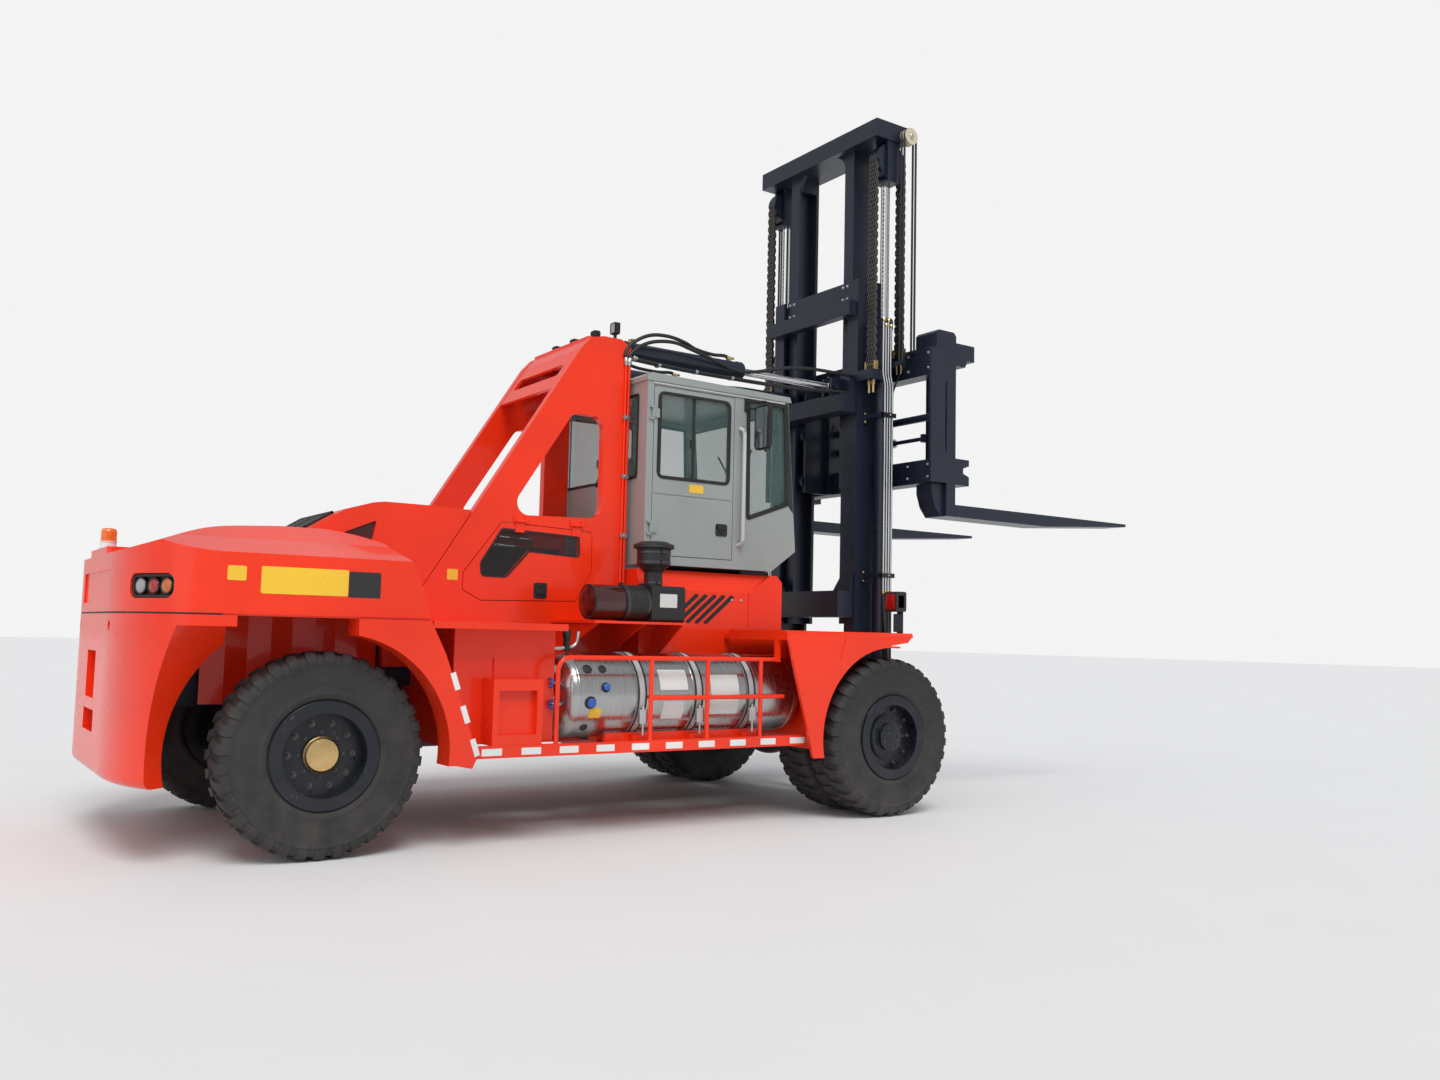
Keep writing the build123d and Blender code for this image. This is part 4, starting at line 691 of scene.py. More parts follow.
def tail_lamps():
    start, end = tail_point(28), tail_point(59)
    run, half = (end - start).normalized(), (end - start).length / 2
    along, out = run.to_3d(), Vector((-run.y, run.x, 0))
    lamp_z, spacing = 1.777, 0.128
    centre = ((start + end) / 2).to_3d() + UP * lamp_z

    def outline(u, v, radius, depth):
        return [centre + along * p.x + UP * p.y + out * depth for p in panel(-u, -v, u, v, radius, 6)]

    for side in SIDES:
        bed = Shape(side).slab(outline(half - 0.004, 0.075, 0.056, -0.0445), out * 0.01)
        bed.band(outline(half - 0.022, 0.057, 0.04, -0.036), outline(half - 0.004, 0.075, 0.056, -0.036), out * 0.026)
        bed.make("tail_lamp_bed_", "black_plastic", bevel=0.002)
        for k, word, look in ((-1, "reversing", "clear_lens"), (0, "stop", "red_lens"), (1, "turning", "amber_lens")):
            spot = centre + along * k * spacing
            ring = Shape(side).hoop(pairs(50, -36, 57, -36, 57, -12, 53, -6, 48, -10), spot, out, 40)
            ring.make(f"tail_{word}_lamp_ring_", "black_plastic")
            glass = Shape(side).lathe(pairs(50, -30, 50, -14, 42, -6, 26, 0, 0, 2), spot, out, 36)
            glass.make(f"tail_{word}_lamp_", look, slot="orange_lens", angle=60)


def tail_seam():
    # a strip in black rubber set just inside the seam between the counterweight and the body: painted shadow,
    # standing in for the shade that falls into the gap
    seam_low, seam_high = [box("counterweight")[1].z + rise for rise in (0.0004, 0.0116)]
    rings = []
    for way, angle in [(-1, 90 - 6 * k) for k in range(16)] + [(1, 6 * k) for k in range(16)]:
        inner, outer = [(p.x, way * p.y) for p in (tail_point(angle, -0.0115), tail_point(angle, -0.003))]
        rings.append([(*inner, seam_low), (*outer, seam_low), (*outer, seam_high), (*inner, seam_high)])
    Shape().rings(rings).make("tail_seam_painted_shadow", "rubber")


def beacon():
    """A pale base with a ribbed orange glass."""
    low, high = box("beacon")
    centre, tall = Vector(((low.x + high.x) / 2, (low.y + high.y) / 2, low.z)), high.z - low.z
    base = Shape().lathe(pairs(60, 0, 60, 12, 54, 18, 52, 46, 56, 50, 56, 56), centre, UP)
    profile = [(0.0515, 0.052)]
    for z in [0.058 + k * 0.0085 for k in range(9)]:
        profile += [(0.0535, z), (0.0505, z + 0.004)]
    profile += [(0.05, tall - 0.014), (0.042, tall - 0.004), (0.026, tall - 0.0005), (0.0, tall)]
    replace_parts(base.make("beacon_base", "white_plastic"), "beacon")
    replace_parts(Shape().lathe(profile, centre, UP, 44).make("beacon_glass", "orange_lens", angle=70), "beacon")


def flank_plates():
    plates = (("flank_plate_yellow", -5.339, 1.745, -4.78, 1.92), ("flank_plate_black", -4.776, 1.74, -4.56, 1.912),
              ("corner_plate_yellow", -5.545, 1.822, -5.43, 1.915))
    for side in SIDES:
        for label, *corners in plates:
            plate = Shape(side).plate(panel(*corners, 0.012), -box("rear_body")[0].y, 0.0025)
            plate.make(f"{label}_", "black_plate" if "black" in label else "yellow_plate")


def tow_pin():
    """The pin with its handle, in the jaw."""
    pin = Shape().rod((JAW_X, 0, 0.7), (JAW_X, 0, 1.06), 0.0245, 24)
    pin.lathe(pairs(40, 0, 44, 6, 44, 18, 34, 26), (JAW_X, 0, 1.012), UP, 28)
    handle = [(JAW_X, y, z) for y, z in ((-0.05, 1.05), (-0.05, 1.17), (0.05, 1.17), (0.05, 1.05))]
    pin.pipe(bent_route(handle, 0.03), 0.008)
    pin.rod((JAW_X, -0.056, 1.052), (JAW_X, 0.056, 1.052), 0.01, 12)
    pin.make("tow_pin_with_handle", "steel")


CHEEK = pairs(-4533, 2246.2, -4272, 2360.5, -4308.5, 2173.5)
SERVICE_MESH = pairs(-3229, 2359, -2541, 2334, -2531, 2191, -2991, 2211, -3191, 1991, -3389, 1991, -3399, 2080)
SERVICE_Y = 0.6


def hood_parts():
    """Grille on the hood's rear slope, meshes in the cheeks and the service doors, latches."""
    start, end = Vector((-4.765, 0, 2.2715)), Vector((-4.545, 0, 2.4111))
    run, long = (end - start).normalized(), (end - start).length
    out = Vector((-run.z, 0, run.x))
    slats, rails = Shape(), Shape()
    inner_half, half_wide, bar, rise = 0.4, 0.425, 0.022, 0.018

    def section(at_run, *corners):
        return [start + run * (at_run + u) + out * w for u, w in corners]

    for k in range(9):
        slats.beam(section(long * (k + 0.5) / 9, (-0.01, 0), (0.006, 0), (0.01, 0.014), (0.004, 0.014)),
                   -inner_half, inner_half)
    for y0, y1 in ((-half_wide, -inner_half), (inner_half, half_wide), (-0.012, 0.012)):
        rails.beam(section(0, (0, 0), (long, 0), (long, rise), (0, rise)), y0, y1)
    for foot in (0, long - bar):
        rails.beam(section(foot, (0, 0), (bar, 0), (bar, rise), (0, rise)), -half_wide, half_wide)
    slats.make("hood_grille_slats", "black_plastic", "hood_lid")
    rails.make("hood_grille_frame", "black_plastic", "hood_lid", bevel=0.002)
    for side in SIDES:
        body, mesh = f"{WORD[side]}_service_door", rounded(SERVICE_MESH, 0.022)
        Shape(side).plate(rounded(CHEEK, 0.012), 0.584, 0.002).make("cheek_mesh_", "mesh")
        Shape(side).plate(mesh, 0.585, 0.002).make("door_mesh_", "mesh", body)
        Shape(side).trim(mesh, 0.001, 0.018, SERVICE_Y, 0.004).make("door_mesh_rim_", "rubber", body)
        latch = Shape(side).plate(panel(-2.935, 1.815, -2.815, 1.945, 0.02), SERVICE_Y, 0.006)
        latch.plate(panel(-2.915, 1.85, -2.835, 1.89, 0.012), SERVICE_Y + 0.006, 0.012)
        latch.lathe(pairs(14, 0, 14, 6, 10, 9), (-2.875, SERVICE_Y + 0.006, 1.92), OUT, 20)
        latch.make("service_door_latch_", "black_plastic", body, bevel=0.0015)
        plate = Shape(side).plate(panel(-3.69, 1.935, -3.6, 2.02, 0.01), SERVICE_Y, 0.002)
        plate.make("portal_plate_yellow_", "yellow_plate")


def reflector_parts():
    """White strips along the lower rails and down the edge of the rear mudguards."""
    rail = box("side_rails")[0]
    guard_y = -box("rear_deck_right")[0].y
    top, foot = Vector((-4.06, 1.3)), Vector((-3.848, 0.7))
    slope = (foot - top).normalized()
    wide = Vector((-slope.y, slope.x)) * 0.02
    for side in SIDES:
        strips = Shape(side)
        for x in [-3.8 + k * 0.3065 for k in range(10)]:
            strips.plate(panel(x, rail.z + 0.018, x + 0.155, rail.z + 0.068, 0.004, 2), -rail.y, 0.002)
        for k in range(3):
            a, b = [top + slope * (0.06 + k * 0.245 + long) for long in (0, 0.125)]
            strips.plate([a - wide, b - wide, b + wide, a + wide], guard_y, 0.002)
        strips.make("reflecting_strips_", "white_strip")


# ---------------------------------------------------------------- portal


def portal_parts():
    low, high = box("portal_lamps")
    x, z = (low.x + high.x) / 2, high.z - 0.052
    glass, rims = Shape(), Shape()
    outer = -low.y - 0.048
    # the outer lamp on the right faces backwards, the others forwards
    for y, face, way in ((-outer, low.x, -1), (outer, high.x, 1), (-0.2, high.x, 1), (0.2, high.x, 1)):
        outline = panel(y - 0.04, z - 0.044, y + 0.04, z + 0.044, 0.014)
        glass.plate(grown(outline, -0.004), face, way * 0.003, True)
        rims.trim(outline, -0.003, 0.004, face, way * 0.006, True)
        for fin in [z - 0.036 + k * 0.018 for k in range(5)]:
            rims.block((x - 0.02 - way * 0.008, y - 0.05, fin), (x + 0.012 - way * 0.008, y + 0.05, fin + 0.004))
    glass.make("work_lamp_glass", "clear_lens", slot="glass")
    rims.make("work_lamp_rims", "black_plastic")
    # pipes with clamps down the portal's front edge
    for side in SIDES:
        pipes, clamps = Shape(side), Shape(side)
        for x in (-2.094, -2.124):
            pipes.pipe([(x, 0.612, z) for z in (1.66, 3.3, 3.9)], 0.011)
            clamps.lathe(pairs(13, 0, 18, 4, 18, 34, 15, 40), (x, 0.612, 3.88), UP, 6)
        for z in (3.421, 2.903, 2.388, 1.9):
            clamps.block((-2.142, 0.6, z - 0.018), (-2.076, 0.628, z + 0.018))
            clamps.nut((-2.109, 0.628, z), OUT, 0.008, 0.008)
        pipes.make("portal_pipes_", "body_paint")
        clamps.make("portal_pipe_clamps_", "steel", bevel=0.002)


TILT_HOSE = places(-2124, 612, 3915, -2132, 606, 3985, -2085, 600, 4070, -1960, 592, 4160, -1820, 580, 4212,
                   -1640, 562, 4226, -1470, 540, 4205, -1330, 510, 4172, -1130, 482, 4160, -980, 472, 4172,
                   -920, 470, 4150)
MAST_HOSE = places(-2094, 612, 3915, -2080, 606, 3990, -1975, 600, 4082, -1820, 596, 4148, -1620, 594, 4172,
                   -1450, 592, 4142, -1230, 590, 4092, -1060, 588, 4046, -900, 588, 4018, -720, 588, 4036,
                   -520, 590, 4085, -310, 594, 4135, -50, 600, 4165, 250, 605, 4172, 545, 605, 4170)
LOW_HOSE = places(-2060, 596, 3960, -1980, 596, 3945, -1500, 596, 3930, -1000, 596, 3930, -500, 598, 3935,
                  -100, 600, 3950, 250, 604, 3975, 545, 605, 3985)
OUTER_LOW_HOSE = [(x, y + 0.036, z) for x, y, z in LOW_HOSE]


def hoses_over_the_cab():
    """Clipped hoses from the portal's pipes over the cab."""
    for side in SIDES:
        for label, route, far, radius in (("tilt", TILT_HOSE, "tilt_cylinder_barrels", 0.0165),
                                          ("mast", MAST_HOSE, "mast_outer", 0.0165),
                                          ("low", LOW_HOSE, "mast_outer", 0.014),
                                          ("outer_low", OUTER_LOW_HOSE, "mast_outer", 0.014)):
            hose = Shape(side).pipe(smooth_route(route, 5), radius, 14)
            piece = hose.make(f"{label}_hose_", "hose", None, angle=60)
            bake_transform(piece)
            collar = [(radius + 0.002, 0), (radius + 0.005, 0.004), (radius + 0.005, 0.04), (radius + 0.002, 0.045)]
            for word, tip, next_one, look, body in (("start", *route[:2], "steel", "truck"),
                                                    ("end", *route[:-3:-1], "zinc", far)):
                run = (Vector(next_one) - Vector(tip)).normalized()
                fitting = Shape(side).lathe(collar, Vector(tip) - run * 0.01, run, 18)
                fitting.make(f"{label}_hose_{word}_", look, body)
        clips = Shape(side)
        for x in (-1.8, -1.4, -1.0):
            for y in (0.596, 0.632):
                clips.hoop(pairs(14.2, -14, 18, -14, 18, 14, 14.2, 14), (x, y, 3.93), ALONG, 20)
        piece = clips.make("low_hose_clips_", "steel", None)
        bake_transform(piece)


def tilt_parts():
    """Gland nuts, weld rings and ports of the tilt cylinders."""
    low, high = box("tilt_barrels")
    y, z = high.y - 0.082, (low.z + high.z) / 2
    for side in SIDES:
        gland = Shape(side).hoop(pairs(82, -70, 88, -66, 88, -12, 80, 2, 50, 4, 50, -2, 81, -8),
                                 (high.x, y, z), ALONG)
        gland.strap(0.081, 0.026, 0.006, (low.x + 0.2, y, z), ALONG, ease=0.004)
        gland.make("tilt_gland_", "mast_paint", "tilt_cylinder_barrels")
        ports = Shape(side)
        for x in (low.x + 0.27, high.x - 0.13):
            ports.rod((x, y, z + 0.078), (x, y, z + 0.11), 0.018, 18)
            ports.rod((x, y, z + 0.106), (x + 0.05, y, z + 0.112), 0.012, 12)
        ports.make("tilt_ports_", "zinc", "tilt_cylinder_barrels")


# ---------------------------------------------------------------- cab


def screen_x(z):
    """The front face of the cab, which leans back as it rises."""
    return -0.392 - 0.108 * (z - 2.336) / 1.394


QUARTER = [(-0.954, 2.603), (screen_x(2.768) - 0.07, 2.768), (screen_x(3.69) - 0.034, 3.69), (-0.971, 3.7)]
PILLAR_GLASS = [(screen_x(2.76) - 0.062, 2.76), (screen_x(2.69) - 0.004, 2.69), (screen_x(3.722) - 0.004, 3.722),
                (-0.985, 3.722), (-0.985, 3.706), (screen_x(3.706) - 0.03, 3.706)]


def cab_side(side):
    door, face = f"{WORD[side]}_cab_door", CAB_HALF + 0.006
    seal = Shape(side).trim(panel(-1.916, 2.9, -1.172, 3.635, 0.055, 6), -0.014, 0.016, CAB_HALF, 0.006)
    seal.make("door_window_seal_", "rubber", door, bevel=0.002)
    seal = Shape(side).trim(rounded(QUARTER, 0.022, 6), -0.026, 0.014, CAB_HALF, 0.006)
    seal.make("quarter_window_seal_", "rubber", bevel=0.002)
    # the sliding pane's meeting bars and its catch
    bars = Shape(side)
    for x0, x1 in ((-1.56, -1.532), (-1.895, -1.883)):
        bars.block((x0, 0.824, 2.905), (x1, 0.838, 3.63))
    bars.block((-1.585, 0.834, 3.18), (-1.56, 0.852, 3.26))
    bars.make("sliding_window_bars_", "black_plastic", door, bevel=0.002)
    latch = Shape(side).plate(panel(-1.3, 2.425, -1.175, 2.535, 0.022), CAB_HALF, 0.006)
    latch.plate(panel(-1.285, 2.485, -1.19, 2.52, 0.01), face, 0.012)
    latch.lathe(pairs(13, 0, 13, 8, 9, 11), (-1.2375, face, 2.455), OUT, 20)
    latch.make("cab_door_latch_", "black_plastic", door, bevel=0.0015)
    plate = Shape(side).plate(panel(-1.59, 2.79, -1.44, 2.86, 0.008), CAB_HALF, 0.002)
    plate.make("door_plate_yellow_", "yellow_plate", door)
    edge = Shape(side).plate(PILLAR_GLASS, CAB_HALF, 0.003)
    edge.make("front_pillar_glass_edge_", "dark_glass", bevel=0.001)
    foot, grip = (-1.054, CAB_HALF - 0.002), (-1.036, CAB_HALF + 0.052)
    bar = bent_route([(*foot, 2.352), (*grip, 2.38), (*grip, 3.392), (*foot, 3.42)], 0.05)
    Shape(side).pipe(bar, 0.0185, 16).make("grab_bar_sleeve_", "light_bar", angle=60)
    Shape(side).pipe([(-1.985, face, 3.712), (-0.55, face, 3.712)], 0.008, 10).make("drip_rail_", "light_bar")


def cab_parts():
    for side in SIDES:
        cab_side(side)
    hole = panel(0.11 - CAB_HALF, 2.47, CAB_HALF - 0.11, 3.65, 0.03, 6)
    edges = [[Vector((screen_x(p.y), p.x, p.y)) for p in grown(hole, reach)] for reach in (-0.016, 0.016)]
    Shape().band(*edges, ALONG * 0.006).make("windscreen_seal", "rubber", bevel=0.002)
    hole = panel(0.15 - CAB_HALF, 2.9, CAB_HALF - 0.15, 3.62, 0.02, 5)
    Shape().trim(hole, -0.012, 0.014, -2.04, -0.006, True).make("rear_window_seal", "rubber", bevel=0.002)
    # rubber skirt that closes the gap under the cab's nose
    rim = panel(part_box("cab_shell")[0].x + 0.02, -0.774, -0.625, 0.774, 0.03, 5)
    edges = [[p.to_3d() + UP * 2.101 for p in outline] for outline in (grown(rim, -0.012), rim)]
    Shape().band(*edges, UP * 0.038).make("cab_skirt", "rubber")
    wipers = Shape()
    for y0, y1 in ((-0.3, 0.22), (0.34, -0.1)):
        add_wiper(wipers, (screen_x(2.475) + 0.03, y0, 2.475), (screen_x(3.18) + 0.024, y1, 3.18), ALONG,
                  pairs(22, -26, 22, 4, 14, 10), 0.007, 0.006, (-0.36, 0.22), (-0.018, 0.004), 0.004)
    add_wiper(wipers, (-2.052, 0.0, 2.89), (-2.052, -0.3, 3.32), -ALONG, [(0.02, -0.012), (0.02, 0.006)], 0.006, 0,
              (-0.26, 0.18), (0.01, -0.004), 0.003)
    wipers.make("wipers", "black_plastic")


def add_wiper(shape, foot, tip, way, boss, arm, lift, reach, depths, half):
    """A boss, an arm from foot to tip, and a blade with a reach before and past the tip."""
    foot, tip = Vector(foot), Vector(tip)
    shape.lathe(boss, foot, way, 18)
    shape.pipe([foot, foot.lerp(tip, 0.5) + ALONG * lift, tip], arm, 8)
    back, ahead = [tip + (tip - foot).normalized() * long for long in reach]
    near, far = [ALONG * depth for depth in depths]
    shape.beam([back + near, ahead + near, ahead + far, back + far], -half, half)


def bake_modifiers(piece):
    """Turns what the modifiers show into the piece's own mesh."""
    shown = piece.evaluated_get(bpy.context.evaluated_depsgraph_get())
    made = bpy.data.meshes.new_from_object(shown)
    piece.modifiers.clear()
    piece.data = made


def cushion(name, low, high, lean=0.0, swell=0.02, pillow=0.0):
    """A stuffed seat part: a box drawn in, remeshed, puffed up by cloth pressure, with pulled-in seams."""
    form = bmesh.new()
    bmesh.ops.create_cube(form, size=1.0)
    centre, size = (low + high) / 2, high - low
    for v in form.verts:
        v.co = Vector((v.co.x * (size.x - 0.03), v.co.y * (size.y - 0.03), v.co.z * (size.z - 0.03)))
    bmesh.ops.bevel(form, geom=list(form.edges), offset=min(size) * 0.25, segments=3, affect="EDGES", profile=0.6)
    mesh = bpy.data.meshes.new(name)
    form.to_mesh(mesh)
    form.free()
    piece = linked(name, mesh)
    grid = piece.modifiers.new("even mesh", "REMESH")
    grid.mode = "VOXEL"
    grid.voxel_size = 0.012
    bake_modifiers(piece)
    rest = [v.co.copy() for v in piece.data.vertices]
    puff = piece.modifiers.new("puff", "CLOTH")
    puff.settings.use_pressure = True
    puff.settings.uniform_pressure_force = 4.0
    puff.settings.effector_weights.gravity = 0.0
    for step in range(1, 15):
        bpy.context.scene.frame_set(step)
    bake_modifiers(piece)
    bpy.context.scene.frame_set(1)
    for v, start in zip(piece.data.vertices, rest):
        move = v.co - start
        if move.length > swell:
            v.co = start + move.normalized() * swell
    half = size / 2
    for v in piece.data.vertices:
        for seam in (-0.42, 0.42):
            v.co.z -= pillow * exp(-((v.co.y / half.y - seam) / 0.05) ** 2) * max(0.0, v.co.z / half.z)
        v.co.x, v.co.z = v.co.x * cos(lean) - v.co.z * sin(lean), v.co.x * sin(lean) + v.co.z * cos(lean)
        v.co += centre
    piece.data.shade_smooth()
    soft = piece.modifiers.new("smooth", "SUBSURF")
    soft.levels = soft.render_levels = 1
    bake_modifiers(piece)
    piece.data.materials.append(FINISH["seat_fabric"])
    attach(piece, "truck")
    return piece


def seat_parts():
    low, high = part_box("seat_cushions")
    squab = cushion("seat_cushion", Vector((low.x + 0.13, -0.245, low.z)),
                    Vector((high.x, 0.245, low.z + 0.125)), pillow=0.012)
    back = cushion("seat_back", Vector((low.x + 0.02, -0.225, low.z + 0.09)),
                   Vector((low.x + 0.145, 0.225, low.z + 0.66)), lean=radians(11))
    for piece in (squab, back):
        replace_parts(piece, "seat_cushions")
    low = box("seat_cushions")[0]
    x0, x1, z = low.x + 0.18, low.x + 0.48, low.z
    rest = Shape()
    outline = rounded([(x0, z + 0.24), (x1, z + 0.26), (x1, z + 0.3), (x0, z + 0.29)], 0.02)
    for side in SIDES:
        rest.plate(outline, side * 0.27, side * 0.055)
        rest.rod((x0 + 0.03, side * 0.3, z + 0.05), (x0 + 0.03, side * 0.3, z + 0.26), 0.012)
    rest.make("seat_arm_rests", "rubber", bevel=0.006)
    levers = Shape()
    for x in [-1.24 - k * 0.07 for k in range(4)]:
        levers.rod((x, -0.47, 2.68), (x + 0.01, -0.47, 2.83), 0.006, 10)
        levers.lathe(pairs(0, -4, 12, 0, 17, 20, 15, 40, 6, 50, 0, 51), (x + 0.01, -0.47, 2.82), UP, 16)
    display = places(-800, -300, 2760, -800, -100, 2760, -850, -100, 2890, -850, -300, 2890)
    levers.slab(display, Vector((0.03, 0, 0.01)))
    levers.make("control_levers_and_display", "black_plastic")


def mirror_parts():
    y, face = CAB_HALF + 0.19, -0.948
    outline = panel(y - 0.094, 3.236, y + 0.094, 3.604, 0.035, 6)
    for side in SIDES:
        Shape(side).plate(outline, face, -0.002, True).make("mirror_glass_", "mirror")
        rim = Shape(side).trim(outline, 0.001, 0.012, face, -0.006, True)
        rim.make("mirror_rim_", "rubber", bevel=0.002)


# ---------------------------------------------------------------- air cleaner


def cleaner_parts():
    y, z, stack = -(CAB_HALF + 0.33), 1.788, -2.14
    can = Shape().lathe(pairs(0, -18, 60, -14, 118, -4, 140.5, 10, 142.5, 40, 142.5, 272, 140, 278),
                        (-2.745, y, z), ALONG, 64)
    can.make("air_cleaner_canister", "canister", angle=50)
    clamps, ribs = Shape(), Shape()
    for x in (-2.45, -2.26):
        clamps.strap(0.1485, 0.022, 0.003, (x, y, z), ALONG, 56)
        clamps.block((x, y - 0.016, z + 0.149), (x + 0.022, y + 0.016, z + 0.166))
        clamps.rod((x + 0.011, y - 0.045, z + 0.158), (x + 0.011, y + 0.045, z + 0.158), 0.005, 10)
    for k in range(6):
        ribs.strap(0.1475, 0.011, 0.003, (-2.417 + k * 0.024, y, z), ALONG, 56, 0.003)
    for z0, radius in ((1.952, 0.0765), (2.118, 0.1385), (2.2, 0.1385)):
        clamps.strap(radius, 0.022, 0.003, (stack, y, z0), UP, 48)
        clamps.block((stack - 0.015, y - radius - 0.018, z0), (stack + 0.015, y - radius, z0 + 0.022))
    for v, u in circle(16, 0.1395):
        ribs.rod((stack + u, y + v, 2.232), (stack + u, y + v, 2.248), 0.006, 8)
    cap = Shape().lathe(pairs(167, 0, 168.8, 6, 168.8, 16, 150, 34, 100, 52, 60, 58, 0, 60),
                        (stack, y, 2.246), UP, 56)
    cap.make("rain_cap", "black_plastic", angle=50)
    clamps.make("air_cleaner_clamps", "dark_steel")
    ribs.make("air_cleaner_ribs", "black_plastic")
    plate = Shape().plate(panel(-2.16, 1.76, -1.995, 1.87, 0.006), y - 0.148, -0.0015)
    plate.make("outlet_plate_pale", "pale_plate")
    # hose from the outlet into the engine bay
    ridges = [(0.078 + 0.006 * (k % 2), 0.05 + k * 0.016) for k in range(12)]
    duct = Shape().lathe(pairs(80, 0, 84, 8, 84, 30, 78, 34) + ridges, (-2.04, y + 0.146, z), OUT, 36)
    duct.make("intake_duct", "rubber", angle=20)


# ---------------------------------------------------------------- gas tank


TANK = box("gas_tank")
TANK_RADIUS = (TANK[1].z - TANK[0].z) / 2
TANK_DOME = TANK_RADIUS / 2


def on_dome(dy, dz):
    """A place on the tank's rear dome, from its middle."""
    depth = TANK_DOME * sqrt(1 - (dy * dy + dz * dz) / TANK_RADIUS ** 2)
    middle_y, middle_z = middle("gas_tank").yz
    return Vector((TANK[0].x + TANK_DOME - depth, middle_y + dy, middle_z + dz))


def tank_straps(fittings):
    """Welds, the straps' edges and their tightening bolts."""
    (_, y, z), radius = middle("gas_tank"), TANK_RADIUS
    x0, x1 = TANK[0].x + TANK_DOME, TANK[1].x - TANK_DOME
    welds, edges = Shape(), Shape()
    bead = [(radius + rise, along) for rise, along in pairs(-1, -8, 2, -3, 2, 3, -1, 8)]
    for x in (x0, x1, (x0 + x1) / 2):
        welds.hoop(bead, (x, y, z), ALONG, 72)
    bolt_y = y - radius - 0.022
    for x in (-2.45, -1.92, -1.4):
        for dx in (-0.041, 0.023):
            edges.strap(radius + 0.009, 0.018, 0.004, (x + dx, y, z), ALONG, 72)
        fittings.block((x - 0.036, bolt_y - 0.012, z - 0.21), (x + 0.036, bolt_y + 0.014, z - 0.1))
        fittings.rod((x, bolt_y, z - 0.3), (x, bolt_y, z - 0.08), 0.009)
        fittings.nut((x, bolt_y, z - 0.1), UP, 0.014, 0.016)
    welds.make("tank_welds", "tank_steel")
    edges.make("strap_rubber_edges", "rubber")


def tank_valves(fittings):
    """Ports, valves and pipes on the tank's rear dome."""
    (_, y, z), face = middle("gas_tank"), TANK[0].x
    wheels, pipes = Shape(), Shape()
    for dy, dz, r in ((-0.1, 0.19, 0.028), (0.06, 0.2, 0.022), (-0.16, -0.02, 0.03), (0.02, 0.02, 0.036),
                      (-0.03, -0.18, 0.024), (0.16, 0.04, 0.02)):
        profile = [(r * 1.5, -0.02), (r * 1.5, 0.01), (r, 0.014), (r, 0.034), (r * 0.8, 0.038)]
        fittings.lathe(profile, on_dome(dy, dz), -ALONG, 24)
    for foot in (on_dome(-0.2, 0.1), on_dome(-0.22, -0.06)):
        tip = foot - Vector((0.085, 0.02, 0))
        fittings.rod(foot, tip, 0.011)
        wheels.hoop(pairs(30, -5, 37, -6, 40, 0, 37, 6, 30, 5), tip, Vector((-1, -0.3, 0)), 28)
        for v, u in circle(4, 0.033):
            wheels.rod(tip, tip + Vector((0, u, v)), 0.005, 8)
    wheels.make("tank_valve_wheels", "blue_plastic")
    inset = ALONG * 0.03
    pipes.pipe(bent_route([on_dome(0.02, 0.02) - inset, (face - 0.1, y + 0.02, z + 0.02), (face - 0.1, -1.3, 1.4),
                           (-2.9, -1.3, 1.432), (-2.88, -1.3, 1.55)], 0.07), 0.014)
    pipes.pipe(bent_route([on_dome(-0.03, -0.18) - inset, (face - 0.06, y - 0.03, z - 0.18),
                           (face - 0.06, y + 0.2, z - 0.1), (face - 0.06, -1.02, 1.3), (-2.75, -0.95, 1.36)],
                          0.06), 0.01)
    pipes.make("tank_pipes", "steel")
    fittings.make("tank_fittings", "steel", bevel=0.001)
    valve = Shape().lathe(pairs(20, 0, 26, 20, 26, 100, 34, 110, 34, 150, 16, 170, 0, 172),
                          (-2.98, -1.3, 1.4), UP, 24)
    valve.make("tank_relief_valve", "black_plastic", angle=40)


def tank_ports():
    """Round ports in the shell near its rear end, two of them with blue knobs."""
    (_, y, z), collars, knobs = middle("gas_tank"), Shape(), Shape()
    for x, turn, r, knob in ((-2.9, 39, 0.03, False), (-2.77, 39, 0.026, False), (-2.77, 12, 0.03, True),
                             (-2.9, -8, 0.04, True), (-2.9, -47, 0.024, False)):
        out = Vector((0, -cos(radians(turn)), sin(radians(turn))))
        foot = Vector((x, y, z)) + out * (TANK_RADIUS - 0.004)
        collars.lathe([(r + 0.009, 0), (r + 0.009, 0.008), (r, 0.01), (r, 0.005)], foot, out, 28)
        if knob:
            profile = [(r * 0.5, 0.005), (r * 0.5, 0.018), (r * 0.9, 0.02), (r * 0.9, 0.032), (r * 0.7, 0.036)]
            knobs.lathe(profile, foot, out, 28)
    collars.make("tank_port_collars", "rubber")
    knobs.make("tank_port_knobs", "blue_plastic", angle=40)


def tank_plates():
    """Blank plates curved round the tank's side, between two angles."""
    (_, y, z), inner, outer = middle("gas_tank"), TANK_RADIUS + 0.0003, TANK_RADIUS + 0.002
    for label, xa, xb, a0, a1 in (("pale_1", -2.28, -2.02, 8, 38), ("pale_2", -2.25, -2.05, -34, -8),
                                  ("pale_3", -1.8, -1.52, -28, 30), ("yellow", -2.9, -2.8, -30, -16)):
        rings = []
        for a in [radians(a0 + (a1 - a0) * k / 8) for k in range(9)]:
            corners = ((xa, inner), (xb, inner), (xb, outer), (xa, outer))
            rings.append([(x, y - r * cos(a), z + r * sin(a)) for x, r in corners])
        Shape().rings(rings).make("tank_plate_" + label, label.split("_")[0] + "_plate")


def tank_parts():
    fittings = Shape()
    tank_straps(fittings)
    tank_valves(fittings)
    tank_ports()
    tank_plates()


# ---------------------------------------------------------------- mast


